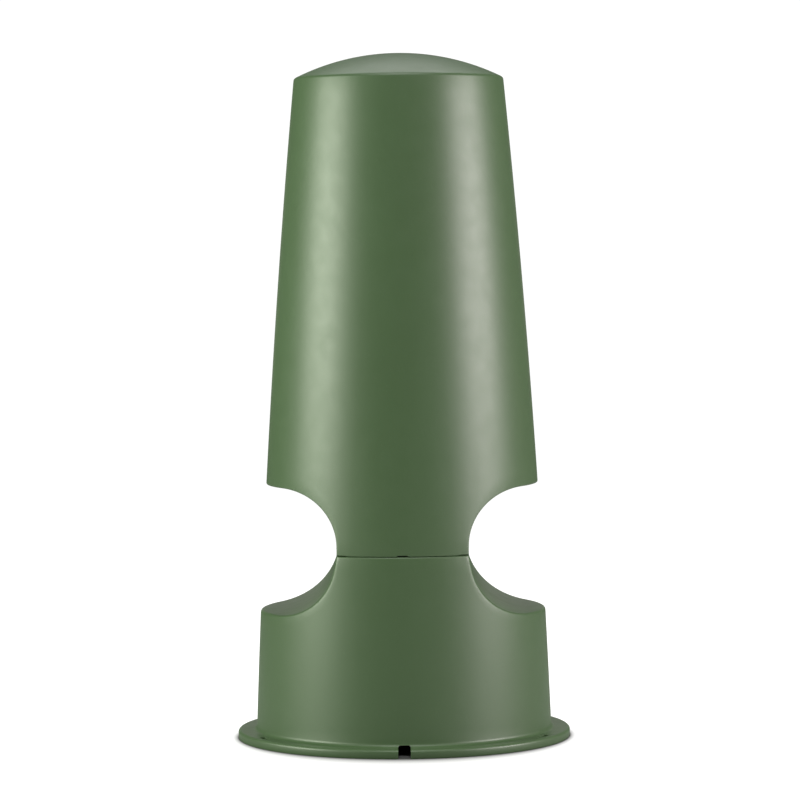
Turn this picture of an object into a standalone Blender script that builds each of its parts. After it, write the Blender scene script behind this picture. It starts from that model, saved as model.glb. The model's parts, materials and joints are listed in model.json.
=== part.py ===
"""Outdoor landscape subwoofer: a tapered upper housing on a flanged base, with a round sound notch cut
through each side at the waist. A down-firing 8 inch woofer hangs from a baffle inside the upper housing,
and a case with its transformer and crossover hangs under the deck of the base.

Metres, +Z up, origin on the ground at the middle of the base. The cable slot faces -Y, the notches +-X.
Run with: blender --background --python part.py
"""

import math

import bmesh
import bpy
from mathutils import Matrix, Vector

MM = 0.001

# Driving dimensions of the housings
HEIGHT = 0.7000  # ground to the top of the dome
SHOULDER_Z = 0.6745  # where the dome meets the tapered wall
SHOULDER_R = 0.1071
FOOT_R = 0.1518  # the tapered wall's radius, carried on down to the ground
BULGE = 0.00507  # how far the wall stands out of a straight taper at mid height
WALL = 0.0045
SEAM_Z = 0.1963  # parting line between the upper housing and the base
SEAM_GAP = 0.0003
NOTCH_HALF_HEIGHT = 0.0639
NECK_HALF_WIDTH = 0.0657
UPPER_ARC_R = 0.0551
LOWER_ARC_R = 0.0620
LOWER_ARC_X = 0.1292
LOWER_ARC_SWEEP = 78.0
FLANGE_R = 0.1708
FLANGE_HEIGHT = 0.0088
FLANGE_PLATE = 0.0040
FLANGE_LIP = 0.0035
FLANGE_FILLET = 0.0040
CABLE_SLOT_WIDTH = 0.0132
CABLE_SLOT_HEIGHT = 0.0108
ANCHOR_SLOT_R = 0.1610  # circle through the four slots for ground anchors
ANCHOR_SLOT_ANGLE = 30.0
ANCHOR_SLOT_SIZE = (0.0070, 0.0170)

# Driving dimensions of what hangs inside
CLEAR = 0.0003  # gap left between neighbours
BAFFLE_Z = 0.2860  # underside of the baffle
BAFFLE_THICK = 0.0120
BAFFLE_R = 0.1313
BAFFLE_BORE = 0.0950
TIE_X, TIE_Y = 0.0400, 0.1160  # long posts that carry the baffle on the base
GRILLE_POST_X, GRILLE_POST_Y = 0.1205, 0.0360
BAFFLE_SCREW_R = 0.1255
WOOFER_SCREW_R = 0.1005
LEAD_Y = 0.1140
LEAD_R = 0.0025
CASE_HALF_X, CASE_HALF_Y = 0.0560, 0.0620
CASE_FLOOR_Z = 0.1220
CASE_RIM_Z = 0.1892
CASE_WALL = 0.0030
CASE_SCREW_X, CASE_SCREW_Y = 0.0420, 0.0720
HINGE_Y, HINGE_Z = -0.0100, 0.1185
SELECTOR_X, SELECTOR_Y = 0.0320, 0.0280

# Mesh density
QUARTER = (3, 5, 1, 3)  # spans of a quarter edge: ledge, arc, straight side, seam
ROUND = 32
SMALL = 8

FINISHES = {
    "housing_green": ((0.080, 0.150, 0.068), 0.42, 0.0),
    "black_plastic": ((0.020, 0.021, 0.022), 0.55, 0.0),
    "powder_coated_steel": ((0.016, 0.017, 0.016), 0.50, 0.4),
    "stainless": ((0.62, 0.62, 0.60), 0.28, 1.0),
    "zinc_plated": ((0.52, 0.54, 0.55), 0.34, 1.0),
    "ferrite": ((0.045, 0.045, 0.050), 0.65, 0.1),
    "cone_poly": ((0.028, 0.029, 0.031), 0.45, 0.0),
    "rubber": ((0.014, 0.014, 0.014), 0.70, 0.0),
    "foam": ((0.030, 0.030, 0.030), 0.95, 0.0),
    "spider_cloth": ((0.42, 0.29, 0.11), 0.90, 0.0),
    "copper": ((0.75, 0.33, 0.15), 0.35, 1.0),
    "aluminium": ((0.70, 0.71, 0.72), 0.38, 1.0),
    "core_steel": ((0.30, 0.31, 0.33), 0.45, 0.9),
    "coil_tape": ((0.62, 0.48, 0.10), 0.60, 0.0),
    "board": ((0.015, 0.110, 0.045), 0.45, 0.0),
    "capacitor_sleeve": ((0.030, 0.040, 0.120), 0.35, 0.0),
    "terminal_green": ((0.030, 0.230, 0.070), 0.50, 0.0),
    "wadding": ((0.80, 0.80, 0.77), 1.0, 0.0),
}


# ---------------------------------------------------------------- making and cutting


def finish(name):
    """The material of that name, made on first use."""
    found = bpy.data.materials.get(name)
    if found:
        return found
    colour, roughness, metallic = FINISHES[name]
    made = bpy.data.materials.new(name)
    made.use_nodes = True
    shader = made.node_tree.nodes["Principled BSDF"]
    shader.inputs["Base Color"].default_value = (*colour, 1.0)
    shader.inputs["Roughness"].default_value = roughness
    shader.inputs["Metallic"].default_value = metallic
    made.diffuse_color = (*colour, 1.0)
    return made


def add(name, bm, finish_name, sharp=35.0, closed=True):
    """Links the bmesh as an object, shaded smooth up to the sharp angle in degrees."""
    if closed:
        bmesh.ops.recalc_face_normals(bm, faces=bm.faces)
    mesh = bpy.data.meshes.new(name)
    bm.to_mesh(mesh)
    bm.free()
    mesh.shade_smooth()
    mesh.set_sharp_from_angle(angle=math.radians(sharp))
    mesh.materials.append(finish(finish_name))
    made = bpy.data.objects.new(name, mesh)
    bpy.context.scene.collection.objects.link(made)
    return made


def turn_into(bm, profile, segments=ROUND):
    """Spins a profile of (radius, height) points about Z. One that ends on the axis stays open there."""
    points = [bm.verts.new((r, 0.0, z)) for r, z in profile]
    edges = [bm.edges.new(pair) for pair in zip(points, points[1:])]
    if profile[0][0] > 0.0 or profile[-1][0] > 0.0:
        edges.append(bm.edges.new((points[-1], points[0])))
    around = {"cent": (0, 0, 0), "axis": (0, 0, 1), "angle": 2 * math.pi}
    bmesh.ops.spin(bm, geom=points + edges, steps=segments, use_merge=True, **around)
    bmesh.ops.remove_doubles(bm, verts=bm.verts, dist=1e-6)


def turned(name, profile, finish_name, segments=ROUND, at=(0, 0, 0), sharp=35.0):
    bm = bmesh.new()
    turn_into(bm, profile, segments)
    bmesh.ops.translate(bm, verts=bm.verts, vec=at)
    return add(name, bm, finish_name, sharp)


def block_into(bm, low, high, bevel=0.0):
    """A box between two corners, its upright edges rounded off by bevel."""
    low, high = Vector(low), Vector(high)
    made = bmesh.ops.create_cube(bm, size=1.0)["verts"]
    size = high - low
    bmesh.ops.scale(bm, vec=size, verts=made)
    bmesh.ops.translate(bm, vec=(low + high) / 2, verts=made)
    if bevel:
        upright = [
            e
            for e in {e for v in made for e in v.link_edges}
            if abs(e.verts[0].co.z - e.verts[1].co.z) > size.z / 2
        ]
        bmesh.ops.bevel(bm, geom=upright, offset=bevel, segments=2, affect="EDGES")


def rod_into(bm, start, end, radius, segments=SMALL):
    """A cylinder from start to end."""
    start, end = Vector(start), Vector(end)
    along = end - start
    place = Matrix.Translation((start + end) / 2) @ along.to_track_quat("Z", "Y").to_matrix().to_4x4()
    bmesh.ops.create_cone(
        bm,
        cap_ends=True,
        segments=segments,
        radius1=radius,
        radius2=radius,
        depth=along.length,
        matrix=place,
    )


def helper(name, build):
    """A hidden shape that a Boolean uses. build fills its bmesh."""
    bm = bmesh.new()
    build(bm)
    made = add(name, bm, "black_plastic")
    made.hide_render = True
    made.display_type = "WIRE"
    return made


def boolean(obj, operation, other):
    modifier = obj.modifiers.new(operation.title(), "BOOLEAN")
    modifier.operation = operation
    modifier.solver = "EXACT"
    modifier.object = other


def cut(obj, name, build):
    boolean(obj, "DIFFERENCE", helper(name, build))


def unite(obj, name, build):
    boolean(obj, "UNION", helper(name, build))


def corners(x, y):
    """The four mirrored places of one screw or post, with the words that name them."""
    return {
        "front_left": (-x, -y),
        "front_right": (x, -y),
        "rear_left": (-x, y),
        "rear_right": (x, y),
    }


def diagonals(radius):
    return corners(radius * math.sqrt(0.5), radius * math.sqrt(0.5))


def screw(name, place, under_head_z, length, shank_r, head_r, head_height, finish_name="stainless"):
    """A pan head screw driven upwards, its head below under_head_z and a round socket in the head."""
    socket_r, socket_depth = head_r * 0.45, head_height * 0.6
    low = under_head_z - head_height
    profile = [
        (0.0, low + socket_depth),
        (socket_r, low + socket_depth),
        (socket_r, low),
        (head_r * 0.8, low),
        (head_r, under_head_z),
        (shank_r, under_head_z),
        (shank_r, under_head_z + length),
        (0.0, under_head_z + length),
    ]
    return turned(name, profile, finish_name, SMALL, at=(*place, 0.0))


def smooth_route(points, step):
    """Points about step apart along a Catmull-Rom curve through the given ones."""
    stations = [Vector(p) for p in points]
    ends = [2 * stations[0] - stations[1], *stations, 2 * stations[-1] - stations[-2]]
    route = [stations[0]]
    for a, b, c, d in zip(ends, ends[1:], ends[2:], ends[3:]):
        count = max(1, round((c - b).length / step))
        for i in range(1, count + 1):
            t = i / count
            route.append(
                0.5 * (2 * b + (c - a) * t + (2 * a - 5 * b + 4 * c - d) * t * t + (3 * b - a - 3 * c + d) * t**3)
            )
    return route


def wire(name, points, radius, finish_name):
    """A round lead along a smooth route, with its ends capped."""
    route = smooth_route(points, 6 * radius)
    curve = bpy.data.curves.new(name, "CURVE")
    curve.dimensions = "3D"
    curve.bevel_depth = radius
    curve.bevel_resolution = 1
    curve.use_fill_caps = True
    spline = curve.splines.new("POLY")
    spline.points.add(len(route) - 1)
    for point, place in zip(spline.points, route):
        point.co = (*place, 1.0)
    curve.materials.append(finish(finish_name))
    made = bpy.data.objects.new(name, curve)
    bpy.context.scene.collection.objects.link(made)
    return made


# ---------------------------------------------------------------- housings


def body_radius(z):
    """Outer radius of the tapered wall, a straight taper with a slight bulge."""
    t = z / SHOULDER_Z
    return FOOT_R + (SHOULDER_R - FOOT_R) * t + 4 * BULGE * t * (1 - t)


def quarter_edge(radius_at, level_z, arc_centre, arc_r, neck_x, seam_z, sweep=90.0):
    """(x, z) points of a quarter of a housing's notch edge, from the side of the body to the seam's middle."""
    ledge, arc, side, seam = QUARTER
    centre_x, centre_z = arc_centre
    outer_x = radius_at(level_z)
    reach = math.acos(centre_x / outer_x)
    points = [(outer_x * math.cos(reach * i / ledge), level_z) for i in range(ledge)]
    way = math.copysign(1, level_z - seam_z)
    for i in range(arc + 1):
        angle = way * (math.pi / 2 + math.radians(sweep) * i / arc)
        points.append((centre_x + arc_r * math.cos(angle), centre_z + arc_r * math.sin(angle)))
    arc_end = Vector(points[-1])
    for i in range(1, side + 1):
        points.append(tuple(arc_end.lerp(Vector((neck_x, seam_z)), i / side)))
    for i in range(1, seam + 1):
        points.append((neck_x * (1 - i / seam), seam_z))
    return points


def full_edge(quarter, radius_at):
    """The closed edge on the wall of that radius, anticlockwise from +X, mirrored from a quarter."""
    wall = [(x, math.sqrt(max(radius_at(z) ** 2 - x * x, 0.0)), z) for x, z in quarter]
    half = wall + [(-x, y, z) for x, y, z in reversed(wall[:-1])]
    return [Vector(p) for p in half] + [Vector((x, -y, z)) for x, y, z in reversed(half[1:-1])]


def ring(radius, z, count):
    turns = [2 * math.pi * i / count for i in range(count)]
    return [Vector((radius * math.cos(a), radius * math.sin(a), z)) for a in turns]


def wall_rows(edge, radius_at, end_z, rows):
    """Rows of points from just past the edge to end_z, which drift to even spacing round the wall."""
    count = len(edge)
    made = []
    for row in range(1, rows + 1):
        share = row / rows
        loop = []
        for i, point in enumerate(edge):
            even = 2 * math.pi * i / count
            here = math.atan2(point.y, point.x)
            drift = (here - even + math.pi) % (2 * math.pi) - math.pi
            angle = even + drift * (1 - share)
            z = point.z + (end_z - point.z) * share
            r = radius_at(z)
            loop.append(Vector((r * math.cos(angle), r * math.sin(angle), z)))
        made.append(loop)
    return made


def dome_rows(radius, base_z, rise, count, rows):
    """Rings from the rim of a shallow spherical dome to its top, which is a single point."""
    sphere_r = (radius**2 + rise**2) / (2 * rise)
    made = []
    for row in range(1, rows):
        r = radius * (1 - row / rows)
        made.append(ring(r, base_z + rise - sphere_r + math.sqrt(sphere_r**2 - r**2), count))
    return [*made, [Vector((0, 0, base_z + rise))]]


def skin_into(bm, loops):
    """Faces between neighbouring loops of points. A loop of one point is a pole. Returns the vertices."""
    made = [[bm.verts.new(p) for p in loop] for loop in loops]
    for a, b in zip(made, made[1:]):
        count = max(len(a), len(b))
        for i in range(count):
            j = (i + 1) % count
            if len(a) == 1:
                bm.faces.new((a[0], b[i], b[j]))
            elif len(b) == 1:
                bm.faces.new((a[i], a[j], b[0]))
            else:
                bm.faces.new((a[i], a[j], b[j], b[i]))
    return made


def saddle_into(bm, edge):
    """Closes a notch edge with straight strips along Y, which makes the saddles and the flat deck."""
    count = len(edge)
    for i in range(count // 2):
        strip = [edge[i], edge[i + 1], edge[(count - i - 1) % count], edge[(count - i) % count]]
        unique = list(dict.fromkeys(strip))
        bm.faces.new(unique)


def upper_edge(radius_at):
    top_z = SEAM_Z + NOTCH_HALF_HEIGHT
    centre = (NECK_HALF_WIDTH + UPPER_ARC_R, top_z - UPPER_ARC_R)
    return full_edge(
        quarter_edge(radius_at, top_z, centre, UPPER_ARC_R, NECK_HALF_WIDTH, SEAM_Z + SEAM_GAP), radius_at
    )


def upper_housing():
    """A cup with a domed top, open below, whose lower edge is cut away to two tongues by the notches."""

    def inner(z):
        return body_radius(z) - WALL

    outer_edge, inner_edge = upper_edge(body_radius), upper_edge(inner)
    count = len(outer_edge)
    outer_rows = wall_rows(outer_edge, body_radius, SHOULDER_Z, 4)
    inner_rows = wall_rows(inner_edge, inner, SHOULDER_Z - WALL / 2, 4)
    rise = HEIGHT - SHOULDER_Z
    inner_top = inner(SHOULDER_Z - WALL / 2)
    outside = [outer_edge, *outer_rows, *dome_rows(SHOULDER_R, SHOULDER_Z, rise, count, 3)]
    inside = [inner_edge, *inner_rows, *dome_rows(inner_top, SHOULDER_Z - WALL / 2, rise - WALL / 2, count, 3)]
    bm = bmesh.new()
    skin_into(bm, [*reversed(outside), *inside])
    made = add("upper_housing", bm, "housing_green")

    def pillars(bm):
        for x, y in diagonals(BAFFLE_SCREW_R).values():
            rod_into(bm, (x, y, BAFFLE_Z + BAFFLE_THICK + CLEAR), (x, y, 0.350), 8.0 * MM)

    def holes(bm):
        for x, y in diagonals(BAFFLE_SCREW_R).values():
            rod_into(bm, (x, y, 0.290), (x, y, 0.318), 2.3 * MM)
        half = 6.2 * MM
        block_into(bm, (-half, -0.150, SEAM_Z - 0.004), (half, -0.130, SEAM_Z + SEAM_GAP + 1.2 * MM))

    unite(made, "upper_pillars", pillars)
    cut(made, "upper_holes", holes)


def lower_edge(radius_at, offset):
    """The base's notch edge, moved into the material by offset."""
    level = SEAM_Z - NOTCH_HALF_HEIGHT
    centre = (LOWER_ARC_X, level + LOWER_ARC_R)
    arc_r, neck_x = LOWER_ARC_R + offset, NECK_HALF_WIDTH - offset
    quarter = quarter_edge(radius_at, level - offset, centre, arc_r, neck_x, SEAM_Z - offset, LOWER_ARC_SWEEP)
    return full_edge(quarter, radius_at)


def base_housing():
    """A flanged skirt, open below, closed above by two saddles and the deck of the neck between them."""

    def inner(z):
        return body_radius(z) - WALL

    outer_edge, inner_edge = lower_edge(body_radius, 0.0), lower_edge(inner, WALL)
    count = len(outer_edge)
    fillet_top = FLANGE_HEIGHT + FLANGE_FILLET
    start_r = body_radius(fillet_top)
    fillet = []
    for degrees in (30, 60, 90):
        angle = math.radians(degrees)
        r = start_r + FLANGE_FILLET * (1 - math.cos(angle))
        fillet.append((r, fillet_top - FLANGE_FILLET * math.sin(angle)))
    edge_round = 2.4 * MM
    flange = [
        (FLANGE_R - edge_round, FLANGE_HEIGHT),
        (FLANGE_R, FLANGE_HEIGHT - edge_round),
        (FLANGE_R, 0.0),
        (FLANGE_R - FLANGE_LIP, 0.0),
        (FLANGE_R - FLANGE_LIP, FLANGE_HEIGHT - FLANGE_PLATE),
        (inner(FLANGE_HEIGHT - FLANGE_PLATE), FLANGE_HEIGHT - FLANGE_PLATE),
    ]
    rings = [ring(r, z, count) for r, z in fillet + flange]
    inside = [inner_edge, *wall_rows(inner_edge, inner, fillet_top, 3)]
    bm = bmesh.new()
    outside = [outer_edge, *wall_rows(outer_edge, body_radius, fillet_top, 3)]
    made = skin_into(bm, [*outside, *rings, *reversed(inside)])
    saddle_into(bm, made[0])
    saddle_into(bm, made[-1])
    base = add("base_housing", bm, "housing_green")

    def bosses(bm):
        for x, y in corners(CASE_SCREW_X, CASE_SCREW_Y).values():
            rod_into(bm, (x, y, 0.1810), (x, y, SEAM_Z - WALL / 2), 5.5 * MM)

    def openings(bm):
        half = CABLE_SLOT_WIDTH / 2
        block_into(bm, (-half, -0.180, -0.010), (half, -0.130, CABLE_SLOT_HEIGHT))
        wide, long = ANCHOR_SLOT_SIZE
        for side in (-1, 1):
            for angle in (ANCHOR_SLOT_ANGLE, -ANCHOR_SLOT_ANGLE):
                turn = math.radians(angle if side > 0 else 180 - angle)
                part = bmesh.new()
                block_into(
                    part,
                    (ANCHOR_SLOT_R - wide / 2, -long / 2, -0.005),
                    (ANCHOR_SLOT_R + wide / 2, long / 2, 0.030),
                    bevel=wide * 0.45,
                )
                bmesh.ops.rotate(part, cent=(0, 0, 0), matrix=Matrix.Rotation(turn, 3, "Z"), verts=part.verts)
                copy = bpy.data.meshes.new("anchor_slot")
                part.to_mesh(copy)
                part.free()
                bm.from_mesh(copy)
                bpy.data.meshes.remove(copy)
        for x, y in corners(TIE_X, TIE_Y).values():
            rod_into(bm, (x, y, 0.180), (x, y, 0.210), 3.2 * MM)
        for x, y in corners(CASE_SCREW_X, CASE_SCREW_Y).values():
            rod_into(bm, (x, y, 0.175), (x, y, 0.1925), 1.9 * MM)
        rod_into(bm, (0, LEAD_Y, 0.180), (0, LEAD_Y, 0.210), 6.3 * MM, 16)

    unite(base, "base_bosses", bosses)
    cut(base, "base_openings", openings)


# ---------------------------------------------------------------- grilles and baffle


def grille(side, sign):
    """A bent sheet of louvres behind each upper notch arc, narrowing to the wall at its outer end."""
    recess, thick = 1.0 * MM, 1.2 * MM
    rows, gap_from_wall = 7, 1.3 * MM
    top_z = SEAM_Z + NOTCH_HALF_HEIGHT
    centre = Vector((NECK_HALF_WIDTH + UPPER_ARC_R, 0, top_z - UPPER_ARC_R))
    arc_r = UPPER_ARC_R + recess
    stations = [(NECK_HALF_WIDTH - recess, SEAM_Z + 0.5 * MM)]
    steps = 2 * rows + 1
    for i in range(steps + 1):
        angle = math.pi - math.pi / 2 * i / steps
        stations.append((centre.x + arc_r * math.cos(angle), centre.z + arc_r * math.sin(angle)))
    stations += [(0.1275, top_z + recess), (0.1318, top_z + recess)]
    columns = (-1.0, -0.92, -0.36, -0.28, 0.28, 0.36, 0.92, 1.0)
    bm = bmesh.new()
    grid = []
    for x, z in stations:
        reach = math.sqrt((body_radius(z) - WALL - gap_from_wall) ** 2 - x * x)
        grid.append([bm.verts.new((sign * x, reach * c, z)) for c in columns])
    for i in range(len(grid) - 1):
        for j in range(len(columns) - 1):
            louvre = i % 2 == 0 and 2 <= i <= steps - 1 and j in (1, 3, 5)
            if not louvre:
                bm.faces.new((grid[i][j], grid[i + 1][j], grid[i + 1][j + 1], grid[i][j + 1]))
    bmesh.ops.recalc_face_normals(bm, faces=bm.faces)
    outward = sum((f.normal.x * sign for f in bm.faces), 0.0)
    if outward < 0:
        bmesh.ops.reverse_faces(bm, faces=bm.faces)
    made = add(f"grille_{side}", bm, "powder_coated_steel", closed=False)
    solid = made.modifiers.new("Thickness", "SOLIDIFY")
    solid.thickness = thick
    solid.offset = -1.0
    solid.use_even_offset = True

    def holes(bm):
        for y in (-GRILLE_POST_Y, GRILLE_POST_Y):
            place = (sign * GRILLE_POST_X, y)
            rod_into(bm, (*place, 0.250), (*place, 0.270), 2.2 * MM)

    cut(made, f"grille_{side}_holes", holes)


def baffle():
    """The round plate that carries the woofer, with four long posts to the deck and four short ones."""
    low, high = BAFFLE_Z, BAFFLE_Z + BAFFLE_THICK
    groove_r, groove_low, groove_high = 0.1295, low + 3.0 * MM, high - 3.0 * MM
    profile = [
        (BAFFLE_BORE, low),
        (BAFFLE_R, low),
        (BAFFLE_R, groove_low),
        (groove_r, groove_low),
        (groove_r, groove_high),
        (BAFFLE_R, groove_high),
        (BAFFLE_R, high),
        (BAFFLE_BORE, high),
    ]
    made = turned("baffle", profile, "black_plastic", 36)
    grille_top = SEAM_Z + NOTCH_HALF_HEIGHT + 2.2 * MM

    def posts(bm):
        for x, y in corners(TIE_X, TIE_Y).values():
            rod_into(bm, (x, y, SEAM_Z + CLEAR), (x, y, low + 2 * MM), 8.0 * MM, 10)
        for x, y in corners(GRILLE_POST_X, GRILLE_POST_Y).values():
            rod_into(bm, (x, y, grille_top + CLEAR), (x, y, low + 2 * MM), 5.0 * MM)

    def holes(bm):
        for x, y in corners(TIE_X, TIE_Y).values():
            rod_into(bm, (x, y, 0.190), (x, y, 0.217), 3.1 * MM)
        for x, y in corners(GRILLE_POST_X, GRILLE_POST_Y).values():
            rod_into(bm, (x, y, 0.255), (x, y, 0.276), 1.8 * MM)
        for x, y in diagonals(BAFFLE_SCREW_R).values():
            rod_into(bm, (x, y, 0.280), (x, y, 0.305), 2.3 * MM)
        for x, y in diagonals(WOOFER_SCREW_R).values():
            rod_into(bm, (x, y, 0.280), (x, y, 0.2955), 2.3 * MM)
        rod_into(bm, (0, LEAD_Y, 0.280), (0, LEAD_Y, 0.305), 3.2 * MM, 12)

    unite(made, "baffle_posts", posts)
    cut(made, "baffle_holes", holes)
    seal = [
        (groove_r + CLEAR, groove_low + CLEAR),
        (0.1318, groove_low + CLEAR),
        (0.1318, groove_high - CLEAR),
        (groove_r + CLEAR, groove_high - CLEAR),
    ]
    turned("baffle_seal", seal, "rubber", 36)


def housing_screws():
    for word, place in corners(TIE_X, TIE_Y).items():
        screw(f"tie_screw_{word}", place, SEAM_Z - WALL - CLEAR, 24 * MM, 2.8 * MM, 5.5 * MM, 3.6 * MM)
    for word, place in diagonals(BAFFLE_SCREW_R).items():
        screw(f"baffle_screw_{word}", place, BAFFLE_Z - CLEAR, 30 * MM, 2.0 * MM, 4.2 * MM, 2.6 * MM)
    grille_z = SEAM_Z + NOTCH_HALF_HEIGHT + 1.0 * MM - CLEAR
    for word, place in corners(GRILLE_POST_X, GRILLE_POST_Y).items():
        screw(f"grille_screw_{word}", place, grille_z, 14 * MM, 1.5 * MM, 3.4 * MM, 1.8 * MM)


# ---------------------------------------------------------------- woofer

FRAME_Z = 0.2812  # front face of the frame's flange, which looks down
FLANGE_TOP_Z = FRAME_Z + 3.0 * MM
LEDGE_Z = 0.3223  # underside of the ledge that the spider is glued to
SEAT_Z = 0.3440  # where the top plate sits
COIL_R = 0.0198
POLE_R = 0.0186


def woofer_frame():
    """The basket: a flange, six legs, the spider's ledge and the seat of the magnet."""
    profile = [
        (90.0 * MM, FRAME_Z),
        (105.0 * MM, FRAME_Z),
        (105.0 * MM, FLANGE_TOP_Z),
        (92.0 * MM, FLANGE_TOP_Z),
        (64.0 * MM, LEDGE_Z),
        (64.0 * MM, SEAT_Z),
        (38.0 * MM, SEAT_Z),
        (38.0 * MM, SEAT_Z - 2.5 * MM),
        (61.5 * MM, SEAT_Z - 2.5 * MM),
        (61.5 * MM, LEDGE_Z + 2.2 * MM),
        (55.5 * MM, LEDGE_Z + 2.2 * MM),
        (55.5 * MM, LEDGE_Z),
        (61.5 * MM, LEDGE_Z),
        (89.5 * MM, FRAME_Z + 4.0 * MM),
    ]
    made = turned("woofer_frame", profile, "black_plastic", 30)

    def window_into(bm, turn, low_z, high_z, inner_x, outer_x, half_angle):
        part = [
            bm.verts.new((x, side * x * math.tan(half_angle), z))
            for z in (low_z, high_z)
            for x, side in ((inner_x, -1), (outer_x, -1), (outer_x, 1), (inner_x, 1))
        ]
        low, high = part[:4], part[4:]
        bm.faces.new(reversed(low))
        bm.faces.new(high)
        for i in range(4):
            j = (i + 1) % 4
            bm.faces.new((low[i], low[j], high[j], high[i]))
        bmesh.ops.rotate(bm, cent=(0, 0, 0), matrix=Matrix.Rotation(turn, 3, "Z"), verts=part)

    def windows(bm):
        for i in range(6):
            turn = math.radians(60 * i)
            window_into(bm, turn, 0.2885, LEDGE_Z - 3 * MM, 54 * MM, 96 * MM, math.radians(21))
            window_into(bm, turn, LEDGE_Z + 5 * MM, SEAT_Z - 5 * MM, 54 * MM, 96 * MM, math.radians(20))

    def holes(bm):
        for x, y in diagonals(WOOFER_SCREW_R).values():
            rod_into(bm, (x, y, 0.275), (x, y, 0.290), 2.3 * MM)

    cut(made, "frame_windows", windows)
    cut(made, "frame_holes", holes)


def woofer_rings():
    """The foam gasket above the frame's flange and the trim ring that covers the surround's edge."""

    def holes(bm):
        for x, y in diagonals(WOOFER_SCREW_R).values():
            rod_into(bm, (x, y, 0.270), (x, y, 0.292), 2.3 * MM)

    gasket_z = FLANGE_TOP_Z + CLEAR
    gasket = [
        (95.6 * MM, gasket_z),
        (104.5 * MM, gasket_z),
        (104.5 * MM, BAFFLE_Z - CLEAR),
        (95.6 * MM, BAFFLE_Z - CLEAR),
    ]
    cut(turned("woofer_gasket", gasket, "foam", 30), "gasket_holes", holes)
    top_z = FRAME_Z - 1.6 * MM
    trim = [
        (93.2 * MM, top_z - 1.2 * MM),
        (94.2 * MM, top_z - 2.0 * MM),
        (104.5 * MM, top_z - 2.0 * MM),
        (104.5 * MM, FRAME_Z - CLEAR),
        (97.0 * MM, FRAME_Z - CLEAR),
        (97.0 * MM, top_z),
        (93.2 * MM, top_z),
    ]
    cut(turned("trim_ring", trim, "rubber", 30), "trim_holes", holes)
    for word, place in diagonals(WOOFER_SCREW_R).items():
        screw(f"woofer_screw_{word}", place, top_z - 2.0 * MM - CLEAR, 17 * MM, 2.0 * MM, 3.9 * MM, 2.3 * MM)


def woofer_cone():
    """What the voice coil drives: the cone, its dust cap, the former and its winding."""
    edge_z = FRAME_Z + 0.2 * MM
    neck_z = 0.3165
    cone = [
        (79.0 * MM, edge_z + 1.0 * MM),
        (75.6 * MM, edge_z + 1.6 * MM),
        (COIL_R + CLEAR, neck_z + 2.2 * MM),
        (COIL_R + CLEAR, neck_z),
        (75.6 * MM, edge_z),
        (79.0 * MM, edge_z),
    ]
    turned("cone", cone, "cone_poly")
    cap_r, cap_rise, cap_edge_z, thick = 31.0 * MM, 9.0 * MM, 0.3092, 0.9 * MM
    sphere_r = (cap_r**2 + cap_rise**2) / (2 * cap_rise)

    def cap_z(r, offset):
        return cap_edge_z - cap_rise + sphere_r - math.sqrt((sphere_r - offset) ** 2 - r * r)

    outside = [(cap_r * i / 3, cap_z(cap_r * i / 3, 0.0)) for i in range(4)]
    inner_r = cap_r - 1.2 * MM
    inside = [(inner_r * i / 3, cap_z(inner_r * i / 3, thick)) for i in range(3, -1, -1)]
    turned("dust_cap", outside + inside, "cone_poly", 24)
    former = [
        (COIL_R - 0.5 * MM, 0.312),
        (COIL_R, 0.312),
        (COIL_R, 0.360),
        (COIL_R - 0.5 * MM, 0.360),
    ]
    turned("coil_former", former, "aluminium", 24)
    winding = [
        (COIL_R + CLEAR, 0.341),
        (COIL_R + 1.4 * MM, 0.341),
        (COIL_R + 1.4 * MM, 0.359),
        (COIL_R + CLEAR, 0.359),
    ]
    turned("coil_winding", winding, "copper", 24)


def suspension():
    """The rubber half-roll surround and the corrugated cloth spider, which flex as the cone moves."""
    high_z = FRAME_Z - CLEAR
    low_z = high_z - 0.9 * MM
    middle_r, roll_r = 85.75 * MM, 6.2 * MM
    steps = 4

    def roll(radius):
        turns = [math.pi + math.pi * i / steps for i in range(steps + 1)]
        return [(middle_r + radius * math.cos(a), low_z + radius * math.sin(a)) for a in turns]

    inner_roll = roll(roll_r - 0.9 * MM)
    shoulders = [(inner_roll[0][0], high_z), *inner_roll[1:-1], (inner_roll[-1][0], high_z)]
    upper = [(76.0 * MM, high_z), *shoulders, (96.4 * MM, high_z)]
    lower = [(96.4 * MM, low_z), *reversed(roll(roll_r)), (76.0 * MM, low_z)]
    turned("surround", upper + lower, "rubber", sharp=50)
    thick = 0.7 * MM
    wave = [(COIL_R + CLEAR, 0.3205), (24.5 * MM, 0.3205)]
    wave += [((30.0 + 6.0 * i) * MM, 0.3213 + (-1.2 * MM if i % 2 else 0.9 * MM)) for i in range(4)]
    wave += [(53.5 * MM, 0.3213), (61.0 * MM, 0.3213)]
    spider = [(r, z + thick) for r, z in wave] + [(r, z) for r, z in reversed(wave)]
    turned("spider", spider, "spider_cloth", 24)


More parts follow.
